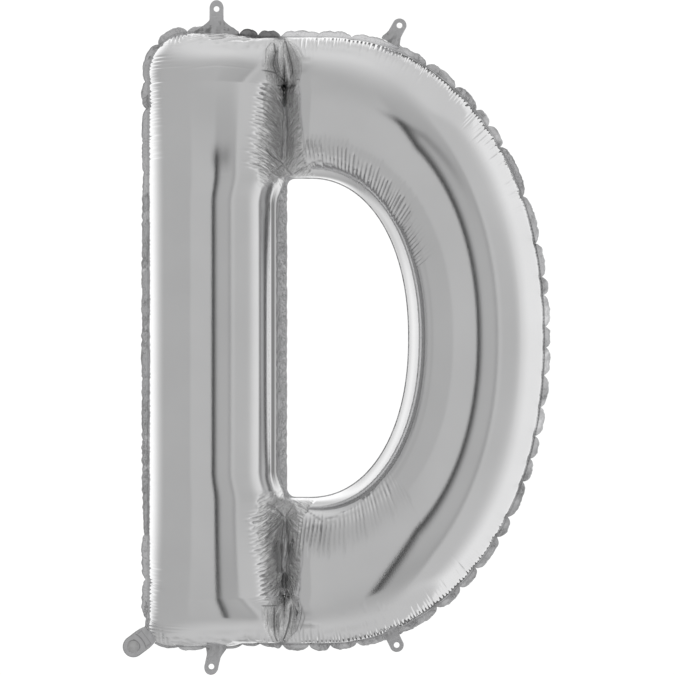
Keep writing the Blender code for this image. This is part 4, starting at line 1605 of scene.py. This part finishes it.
@dataclass
class Neck:
    """The filling neck: a front sheet with the round inlet, a back sheet, and the valve film between them.

    Its own coordinates are the distance along its axis, from a point inside the corner, and the one across.
    """

    start: tuple[float, float] = (-0.26875, -0.40183)
    angle: float = math.radians(217)
    length: float = 0.0360
    root: float = 0.0060
    half_width: float = 0.0150
    flare: float = -0.0022
    inlet_radius: float = 0.0085
    gap: float = 0.0010
    thickness: float = 0.0005
    valve_half_width: float = 0.0110
    valve_reach: float = 0.0400

    @property
    def axis(self) -> Points:
        """The way out of the letter."""
        return np.array([math.cos(self.angle), math.sin(self.angle)])

    def place(self, along: Values, across: Values, y: Values) -> Points:
        """Points in space from the neck's own coordinates."""
        side = np.array([-self.axis[1], self.axis[0]])
        flat = np.array(self.start) + along[..., None] * self.axis + across[..., None] * side
        return np.stack([flat[..., 0], y, flat[..., 1]], axis=-1)

    def strip(self, start: float, half_width: float, flare: float, end: float) -> Points:
        """Rows along the axis: straight sides that flare towards the start, and a half circle past the inlet's middle."""
        turn = np.linspace(0, math.pi / 2, 25)
        straight = np.linspace(start, self.length, 40)
        along = np.concatenate([straight[:-1], self.length + half_width * np.sin(turn)])
        along = along[along <= end + 1e-9][:, None]
        wide = half_width + flare * np.clip(1 - (along - start) / 0.016, 0, 1) ** 2
        round_end = np.sqrt(np.maximum(half_width**2 - np.maximum(along - self.length, 0) ** 2, 0))
        width = np.where(along > self.length, round_end, wide)
        across = np.linspace(-1, 1, 29)[None, :] * width
        return np.stack([np.broadcast_to(along, across.shape), across], axis=-1)

    def inlet_ring(self) -> Points:
        """Rings round the inlet: from its circle out to a square whose far half is round."""
        turn = np.linspace(0, TURN, RING_POINTS)[:, None]
        sine, cosine = np.sin(turn), np.cos(turn)
        square = self.half_width / np.maximum(np.abs(sine), np.abs(cosine))
        reach = np.where(sine > 0, self.half_width, square)
        share = np.linspace(0, 1, 9)[None, :] ** 0.8
        radius = self.inlet_radius + (reach - self.inlet_radius) * share
        return np.stack([self.length + radius * sine, radius * cosine], axis=-1)

    def waves(self, along: Values, across: Values, seed: int) -> Values:
        """Small waves of a sheet, deepest at its root."""
        near_root = eased((0.022 - along) / 0.014)
        wave = 0.0003 * near_root * rumple(across, along, 0.0060, 0.0100, seed)
        return wave + 0.00008 * rumple(across, along, 0.0060, 0.0070, seed + 1)

    def painted_line_shade(self, along: Values, across: Values) -> Values:
        """Painted shade along the sheet's lines: its rim, the inlet's edge with a darker arc on one side, a curved
        fold, and the valve film's pressed corner.
        """
        rim = self.half_width - np.where(along > self.length, np.hypot(along - self.length, across), np.abs(across))
        inlet = np.hypot(along - self.length, across) - self.inlet_radius
        arc_side = np.clip(0.5 - (along - self.length + 0.4 * across) / 0.012, 0.15, 1)
        edge = 0.55 * eased((0.0012 - rim) / 0.0009)
        ring = 0.75 * arc_side * np.exp(-((inlet / 0.0008) ** 2))
        curve = np.abs(along - 0.0205 - 16 * across**2) + 0 * across
        fold = 0.50 * np.exp(-((curve / 0.0007) ** 2)) * eased((0.0135 - np.abs(across)) / 0.002)
        corner = np.minimum(np.abs(along - 0.0135), np.abs(np.abs(across) - self.valve_half_width) + 10 * (along > 0.0205))
        valve = 0.38 * np.exp(-((corner / 0.0006) ** 2)) * (np.abs(across) < self.valve_half_width + 0.0008)
        return np.maximum(np.maximum(edge, ring), np.maximum(fold, valve * (along > 0.0130)))

    def make(self, foil: bpy.types.Material, film: bpy.types.Material) -> None:
        """Builds and dresses the two sheets and the film."""
        inner = self.length - self.half_width
        grids = [self.strip(self.root, self.half_width, self.flare, inner), self.inlet_ring()]
        grids[0] = np.concatenate([grids[0], np.stack([np.full(29, inner), np.linspace(-1, 1, 29) * self.half_width], axis=-1)[None]])
        sheets = []
        for grid in grids:
            along, across = grid[..., 0], grid[..., 1]
            y = -self.gap + np.minimum(self.waves(along, across, 71), 0.0004)
            sheets.append((self.place(along, across, y), grid, self.painted_line_shade(along, across)))
        front = joined("neck_front_foil", sheets)
        thicken(front, self.thickness)
        finish_piece(front, foil, "welded_foil", "neck_front_sheet")
        grid = self.strip(self.root, self.half_width, self.flare, self.length + self.half_width)
        along, across = grid[..., 0], grid[..., 1]
        y = self.gap + np.maximum(self.waves(along, across, 74), -0.0004)
        # painted shade along the back sheet's rim
        shadow = 0.45 * eased((0.0012 - self.half_width + np.hypot(np.maximum(along - self.length, 0), across)) / 0.0009)
        back = joined("neck_back_foil", [(self.place(along, across, y), grid, shadow)])
        thicken(back, self.thickness)
        finish_piece(back, foil, "welded_foil", "neck_back_sheet")
        grid = self.strip(-self.valve_reach, self.valve_half_width, 0.0, self.length + self.valve_half_width)
        along, across = grid[..., 0], grid[..., 1]
        y = 0.00012 * rumple(across, along, 0.0050, 0.0080, 77)
        valve = joined("valve_film_sheet", [(self.place(along, across, y), grid, 0 * along)])
        thicken(valve, 0.0003)
        finish_piece(valve, film, "valve_film", "valve_film")


# ---------------------------------------------------------------- shader maths


class Signal:
    """One number that varies over a surface: a node's output with arithmetic."""

    def __init__(self, graph: "Graph", socket: bpy.types.NodeSocket) -> None:
        """Wraps a socket of a graph."""
        self.graph = graph
        self.socket = socket

    def math(self, operation: str, *others: "Signal | float", reverse: bool = False) -> "Signal":
        """Adds a Math node.

        Args:
            operation: the node's operation.
            others: its further inputs.
            reverse: puts this signal last.

        Returns:
            The result.
        """
        values = [self, *others]
        if reverse:
            values.reverse()
        node = self.graph.node("ShaderNodeMath", {"operation": operation}, dict(enumerate(values)))
        return Signal(self.graph, node.outputs[0])

    def __add__(self, other: "Signal | float") -> "Signal":
        """Sum."""
        return self.math("ADD", other)

    __radd__ = __add__

    def __sub__(self, other: "Signal | float") -> "Signal":
        """Difference."""
        return self.math("SUBTRACT", other)

    def __rsub__(self, other: float) -> "Signal":
        """Difference from a number."""
        return self.math("SUBTRACT", other, reverse=True)

    def __mul__(self, other: "Signal | float") -> "Signal":
        """Product."""
        return self.math("MULTIPLY", other)

    __rmul__ = __mul__

    def __neg__(self) -> "Signal":
        """Minus this."""
        return self.math("MULTIPLY", -1.0)

    def ramp(self, start: float, end: float) -> "Signal":
        """0 before start, 1 after end, smooth between; start may be the higher."""
        inputs = {"Value": self, "From Min": start, "From Max": end, "To Min": 0.0, "To Max": 1.0}
        node = self.graph.node("ShaderNodeMapRange", {"interpolation_type": "SMOOTHSTEP"}, inputs)
        return Signal(self.graph, node.outputs["Result"])


class Graph:
    """A node tree that is filled from Python expressions."""

    def __init__(self, tree: bpy.types.NodeTree) -> None:
        """Wraps a tree."""
        self.tree = tree

    def node(self, kind: str, settings: dict | None = None, inputs: dict | None = None) -> bpy.types.Node:
        """Adds any node.

        Args:
            kind: the node's type.
            settings: its properties, set before its sockets.
            inputs: values, signals or sockets by the input's name or number.

        Returns:
            The node.
        """
        node = self.tree.nodes.new(kind)
        for key, value in (settings or {}).items():
            setattr(node, key, value)
        for key, value in (inputs or {}).items():
            if isinstance(value, Signal):
                self.tree.links.new(value.socket, node.inputs[key])
            elif isinstance(value, bpy.types.NodeSocket):
                self.tree.links.new(value, node.inputs[key])
            else:
                node.inputs[key].default_value = value
        return node

    def place(self, kind: str, scale: tuple[float, float, float]) -> bpy.types.NodeSocket:
        """Coordinates on the piece, stretched.

        Args:
            kind: "Object" for place in space, "UV" for distances along and from the weld.
            scale: how many times each coordinate is stretched.

        Returns:
            A vector socket.
        """
        source = self.node("ShaderNodeTexCoord").outputs[kind]
        return self.node("ShaderNodeMapping", {}, {"Vector": source, "Scale": scale}).outputs["Vector"]

    def noise(self, place: bpy.types.NodeSocket, scale: float, detail: float, rough: float = 0.5) -> Signal:
        """Noise from 0 to 1 at a place."""
        inputs = {"Vector": place, "Scale": scale, "Detail": detail, "Roughness": rough}
        return Signal(self, self.node("ShaderNodeTexNoise", {}, inputs).outputs[0])

    def mark(self, name: str) -> Signal:
        """A number that the piece's points carry."""
        return Signal(self, self.node("ShaderNodeAttribute", {"attribute_name": name}).outputs["Fac"])

    def vector(self, x: Signal, y: Signal, z: Signal) -> bpy.types.NodeSocket:
        """A vector from three numbers."""
        return self.node("ShaderNodeCombineXYZ", {}, {"X": x, "Y": y, "Z": z}).outputs["Vector"]

    def part(self, place: bpy.types.NodeSocket, name: str) -> Signal:
        """One coordinate of a vector, by its letter."""
        return Signal(self, self.node("ShaderNodeSeparateXYZ", {}, {"Vector": place}).outputs[name])

    def tint(
        self, share: Signal, low: tuple | bpy.types.NodeSocket, high: tuple | bpy.types.NodeSocket
    ) -> bpy.types.NodeSocket:
        """A colour between two, each a colour or a socket, by a share from 0 to 1."""
        node = self.node("ShaderNodeMix", {"data_type": "RGBA"})
        for key, value in (("Factor", share), ("A", low), ("B", high)):
            socket = next(s for s in node.inputs if s.name == key and s.enabled)
            if isinstance(value, Signal):
                self.tree.links.new(value.socket, socket)
            elif isinstance(value, bpy.types.NodeSocket):
                self.tree.links.new(value, socket)
            else:
                socket.default_value = (*value, 1.0)
        return next(s for s in node.outputs if s.enabled)

    def bump(self, height: Signal, distance: float, strength: float = 1.0) -> bpy.types.NodeSocket:
        """A normal from a height in units of a distance."""
        inputs = {"Height": height, "Distance": distance, "Strength": strength}
        return self.node("ShaderNodeBump", {}, inputs).outputs["Normal"]


def shade(colour: Colour, factor: float) -> tuple[float, float, float]:
    """A base colour times a factor."""
    return tuple(min(1.0, channel * factor) for channel in colour.value)


def new_material(name: str) -> tuple[bpy.types.Material, Graph, bpy.types.Node]:
    """A node material, with its graph and its shader."""
    material = bpy.data.materials.new(name)
    material.use_nodes = True
    graph = Graph(material.node_tree)
    return material, graph, material.node_tree.nodes["Principled BSDF"]


@dataclass(frozen=True)
class MirrorFoil:
    """Stretched metallised film: a clear mirror with a faint grain, fine creases at the welds and crinkled walls, with
    painted shade along its creases and painted light on its walls.
    """

    name: str = "stretched_foil"
    roughness: float = 0.06
    grain: float = 0.00004
    creases: float = 0.00022
    wall_creases: float = 0.0030
    passage_streaks: float = 0.0012
    reach: float = 0.014

    def make(self) -> bpy.types.Material:
        """Builds the material."""
        material, graph, shader = new_material(self.name)
        room = graph.place("Object", (1.0, 1.0, 1.0))
        film = graph.place("UV", (1.0, 1.0, 1.0))
        stretched = graph.place("UV", (1.0, 0.14, 1.0))
        near_weld = graph.part(film, "Y").ramp(self.reach, 0.0)
        cloud = graph.noise(room, 9.0, 3.0)
        streaks = graph.noise(stretched, 620.0, 3.0, 0.6)
        speckle = graph.noise(room, 900.0, 2.0)
        wall, passage_mark = graph.mark("wall"), graph.mark("passage")
        facets, fine = self.wall_folds(graph, room)
        level = graph.place("Object", (1.0, 1.0, 0.10))
        ribbons = (graph.noise(level, 330.0, 3.0, 0.65) - 0.5).math("ABSOLUTE") * 2.0
        shader.inputs["Metallic"].default_value = 1.0
        plain = graph.tint(cloud, shade(Colour.FOIL, 0.90), shade(Colour.FOIL, 1.03))
        # painted light: a lighter base colour on the walls and gas passages, against the shade of their deep folds
        plain = graph.tint(wall.math("MAXIMUM", passage_mark), plain, (0.985, 0.985, 0.985))
        # painted shade: dark lines along the walls' crinkles, fading out towards the junction
        lines = wall * (0.34 * facets.ramp(0.10, 0.0) + 0.24 * fine.ramp(0.12, 0.0)) * graph.mark("junction").ramp(0.0, 0.05)
        # painted shade: the points' shadow mark, and dark lines along the passages' ribbons, mixed towards near black
        painted_shade = graph.mark("shadow").math("MAXIMUM", lines)
        painted_shade = painted_shade.math("MAXIMUM", 0.38 * passage_mark * ribbons.ramp(0.12, 0.0))
        graph.tree.links.new(graph.tint(painted_shade, plain, shade(Colour.FOIL, 0.03)), shader.inputs["Base Color"])
        rough = self.roughness + 0.035 * cloud + 0.12 * near_weld * streaks + 0.06 * wall
        graph.tree.links.new(rough.socket, shader.inputs["Roughness"])
        height = self.creases * near_weld * streaks + self.grain * speckle
        height = height - self.wall_creases * wall * (facets + 0.30 * fine)
        height = height - self.passage_streaks * passage_mark * ribbons
        graph.tree.links.new(graph.bump(height, 1.0), shader.inputs["Normal"])
        return material

    def wall_folds(self, graph: Graph, room: bpy.types.NodeSocket) -> tuple[Signal, Signal]:
        """The walls' crinkles, coarse and fine, 0 on a fold: they run down from the junction to both sides.

        Args:
            graph: the material's graph.
            room: place in space.

        Returns:
            The two signals.
        """
        across = graph.mark("junction") * 1.0
        level = graph.part(room, "Z").math("ABSOLUTE") - 0.42 * across
        slanted = graph.vector(level, 0.11 * across, 0.0 * across)
        return tuple(
            (graph.noise(slanted, scale, 3.0, 0.6) - 0.5).math("ABSOLUTE") * 2.0 for scale in (150.0, 380.0)
        )


@dataclass(frozen=True)
class WeldedFoil:
    """Film pressed flat by a hot bar: duller, with the bar's fine dots and crossing creases, painted shade along the
    creases, and painted light and shade by direction.
    """

    name: str = "pressed_foil"
    roughness: float = 0.19
    folds: float = 0.0005
    crumple: float = 0.00005
    # strength of the painted shade along the crease lines
    creases: float = 0.30

    def make(self) -> bpy.types.Material:
        """Builds the material."""
        material, graph, shader = new_material(self.name)
        film = graph.place("UV", (1.0, 1.0, 1.0))
        room = graph.place("Object", (1.0, 1.0, 1.0))
        dots = graph.node("ShaderNodeTexVoronoi", {"feature": "SMOOTH_F1"}, {"Vector": room, "Scale": 430.0})
        dot = Signal(graph, dots.outputs["Distance"])
        crumple = graph.noise(room, 300.0, 3.0, 0.6)
        folds = graph.noise(film, 130.0, 2.0)
        streaks = graph.noise(graph.place("UV", (0.30, 1.0, 1.0)), 700.0, 2.0)
        creases = (graph.noise(room, 120.0, 2.0) - 0.5).math("ABSOLUTE") * 2.0
        painted_light = graph.mark("painted_light")
        shader.inputs["Metallic"].default_value = 1.0
        # painted light: the direction table's lighter stretches lift the base colour towards its palest; the streaks
        # alone are random tone
        share = (0.3 + 0.4 * streaks) * (1.0 - 0.7 * painted_light) + 0.7 * painted_light
        plain = graph.tint(share, shade(Colour.WELD, 0.84), shade(Colour.WELD, 1.18))
        # painted shade: the points' shadow mark and dark lines along the creases, mixed towards near black
        painted_shade = graph.mark("shadow").math("MAXIMUM", self.creases * creases.ramp(0.05, 0.0))
        graph.tree.links.new(graph.tint(painted_shade, plain, shade(Colour.WELD, 0.10)), shader.inputs["Base Color"])
        rough = self.roughness + 0.08 * crumple
        graph.tree.links.new(rough.socket, shader.inputs["Roughness"])
        height = 0.00003 * dot + self.crumple * (crumple + streaks) + self.folds * (folds - 0.6 * creases)
        graph.tree.links.new(graph.bump(height, 1.0), shader.inputs["Normal"])
        return material


@dataclass(frozen=True)
class ValveFilm:
    """The valve's clear film, milky where its two sheets cling."""

    name: str = "clear_film"

    def make(self) -> bpy.types.Material:
        """Builds the material."""
        material, graph, shader = new_material(self.name)
        cling = graph.noise(graph.place("Object", (1.0, 1.0, 1.0)), 160.0, 3.0)
        colour = graph.tint(cling.ramp(0.35, 0.65), shade(Colour.FILM, 0.94), shade(Colour.FILM, 1.04))
        graph.tree.links.new(colour, shader.inputs["Base Color"])
        shader.inputs["Metallic"].default_value = 0.85
        rough = 0.26 + 0.10 * cling
        graph.tree.links.new(rough.socket, shader.inputs["Roughness"])
        graph.tree.links.new(graph.bump(0.00002 * cling, 1.0), shader.inputs["Normal"])
        return material


@dataclass(frozen=True)
class PaleFloor:
    """A plain matt studio floor."""

    name: str = "pale_floor"

    def make(self) -> bpy.types.Material:
        """Builds the material."""
        material, graph, shader = new_material(self.name)
        cloud = graph.noise(graph.place("Object", (1.0, 1.0, 1.0)), 2.0, 2.0)
        colour = graph.tint(cloud, shade(Colour.FLOOR, 0.99), shade(Colour.FLOOR, 1.01))
        graph.tree.links.new(colour, shader.inputs["Base Color"])
        shader.inputs["Roughness"].default_value = 0.7
        return material


# ---------------------------------------------------------------- the studio


@dataclass(frozen=True)
class SoftBox:
    """A soft area of the studio that the film mirrors, by its direction from the balloon.

    Attributes:
        left: its left side's azimuth in degrees, from the camera's direction, more to the right.
        right: its right side's azimuth.
        low: its lower side's elevation.
        high: its upper side's elevation.
        brightness: its radiance.
        left_edge: width of its left side's soft edge, in degrees.
        right_edge: width of its right side's soft edge.
        end_edge: width of its lower and upper soft edges.
    """

    left: float
    right: float
    low: float
    high: float
    brightness: float
    left_edge: float = 3.0
    right_edge: float = 3.0
    end_edge: float = 6.0


SOFT_BOXES = (
    # left, right, low, high, brightness, left_edge, right_edge, end_edge
    SoftBox(-181, 181, 60, 91, 0.82, 1, 1, 60),
    SoftBox(-181, 181, -91, -60, 0.60, 1, 1, 40),
    SoftBox(-181, -115, -30, 52, 1.15, 1, 48, 22),
    SoftBox(33, 181, -60, 70, 0.64, 30, 1, 40),
    SoftBox(32, 181, -48, 39, 0.55, 1.5, 1, 6),
    SoftBox(74, 181, -52, 39, 0.86, 46, 1, 6),
    SoftBox(38, 67, -10, 12, 0.50, 6, 16, 24),
    SoftBox(150, 181, -40, 50, 1.10, 20, 1, 30),
    SoftBox(153, 172, -55, 45, 0.14, 5, 8, 16),
    SoftBox(-38, -5, -4, 28, 0.43, 8, 4, 30),
    SoftBox(-38, -2, -36, 24, 0.52, 3, 2, 40),
    SoftBox(0, 31.5, -42, 24, 0.38, 2, 2, 32),
    SoftBox(8, 27, -26, 14, 0.46, 10, 6, 36),
    SoftBox(-5, 22, 12.5, 17.5, 0.26, 8, 14, 6),
    SoftBox(-1, 5, -42, 17.5, 0.05, 1.0, 9, 5),
)


@dataclass
class Studio:
    """A white room of soft panels round the balloon, a pale floor below it, and the camera."""

    base: float = 0.46
    background: float = 1.05
    floor_height: float = -0.78
    floor_radius: float = 1.9
    camera_distance: float = 3.5
    frame_width: float = 0.945
    middle: tuple[float, float] = (-0.0119, 0.0091)

    def world(self) -> None:
        """The room by direction: each soft box is laid over the ones before it; the camera sees plain white past it."""
        world = bpy.data.worlds.new("studio")
        bpy.context.scene.world = world
        world.use_nodes = True
        graph = Graph(world.node_tree)
        way = graph.node("ShaderNodeTexCoord").outputs["Generated"]
        x, y, z = (graph.part(way, letter) for letter in "XYZ")
        azimuth = x.math("ARCTAN2", -y) * (180 / math.pi)
        elevation = z.math("ARCSINE") * (180 / math.pi)
        light = self.base + 0.0 * z
        for box in SOFT_BOXES:
            across = azimuth.ramp(box.left - box.left_edge / 2, box.left + box.left_edge / 2)
            across = across * azimuth.ramp(box.right + box.right_edge / 2, box.right - box.right_edge / 2)
            up = elevation.ramp(box.low - box.end_edge / 2, box.low + box.end_edge / 2)
            up = up * elevation.ramp(box.high + box.end_edge / 2, box.high - box.end_edge / 2)
            mask = across * up
            light = light + mask * (box.brightness - light)
        seen = Signal(graph, graph.node("ShaderNodeLightPath").outputs["Is Camera Ray"])
        light = light + seen * (self.background - light)
        shader = world.node_tree.nodes["Background"]
        graph.tree.links.new(light.socket, shader.inputs["Strength"])
        shader.inputs["Color"].default_value = (1.0, 1.0, 1.0, 1.0)

    def floor(self) -> None:
        """A round pale floor under the balloon, out of the camera's view from the front."""
        turn = np.linspace(0, TURN, RING_POINTS)[:, None]
        radius = np.linspace(0.0001, self.floor_radius, 20)[None, :]
        level = np.full((97, 20), self.floor_height)
        points = np.stack([radius * np.cos(turn), radius * np.sin(turn), level], axis=-1)
        piece = surface("floor", points, True)
        piece.data.materials.append(PaleFloor().make())
        piece.visible_glossy = False

    def camera(self) -> None:
        """A long lens straight in front, framed as the photograph is."""
        data = bpy.data.cameras.new("camera")
        data.sensor_width = 36.0
        data.lens = 36.0 * self.camera_distance / self.frame_width
        data.clip_end = 50.0
        camera = bpy.data.objects.new("camera", data)
        camera.location = Vector((self.middle[0], -self.camera_distance, self.middle[1]))
        camera.rotation_euler = (math.pi / 2, 0, 0)
        bpy.context.scene.collection.objects.link(camera)
        bpy.context.scene.camera = camera

    def make(self) -> None:
        """Sets the room up."""
        bpy.context.scene.view_settings.view_transform = "Standard"
        self.world()
        self.floor()
        self.camera()


def corners(box: tuple) -> list[list[float]]:
    """A box as plain lists."""
    return [[float(value) for value in corner] for corner in box]


def main() -> None:
    """Loads the frame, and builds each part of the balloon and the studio."""
    logging.basicConfig(level=logging.INFO, format="%(message)s")
    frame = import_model()
    foil, weld = MirrorFoil().make(), WeldedFoil().make()
    tab_foil = WeldedFoil(name="tab_foil", roughness=0.33, folds=0.0001, crumple=0.00003, creases=0.0).make()
    seam = OuterSeam()
    for side in Side:
        StemFilm(side).make(seam, foil)
        BowlFilm(side).make(seam, foil)
    OuterWeld().make(seam, weld)
    CounterWeld().make(weld)
    for index, tab in enumerate(TABS):
        tab.make(tab_foil, 50 + 3 * index)
    Neck().make(tab_foil, ValveFilm().make())
    for name in ("upper_junction_weld", "lower_junction_weld"):
        node = frame["nodes"][name]
        node.data.materials.clear()
        node.data.materials.append(weld)
        log.info("%s: carried over", name)
    Studio().make()
    bpy.context.view_layer.update()


if __name__ == "__main__":
    main()
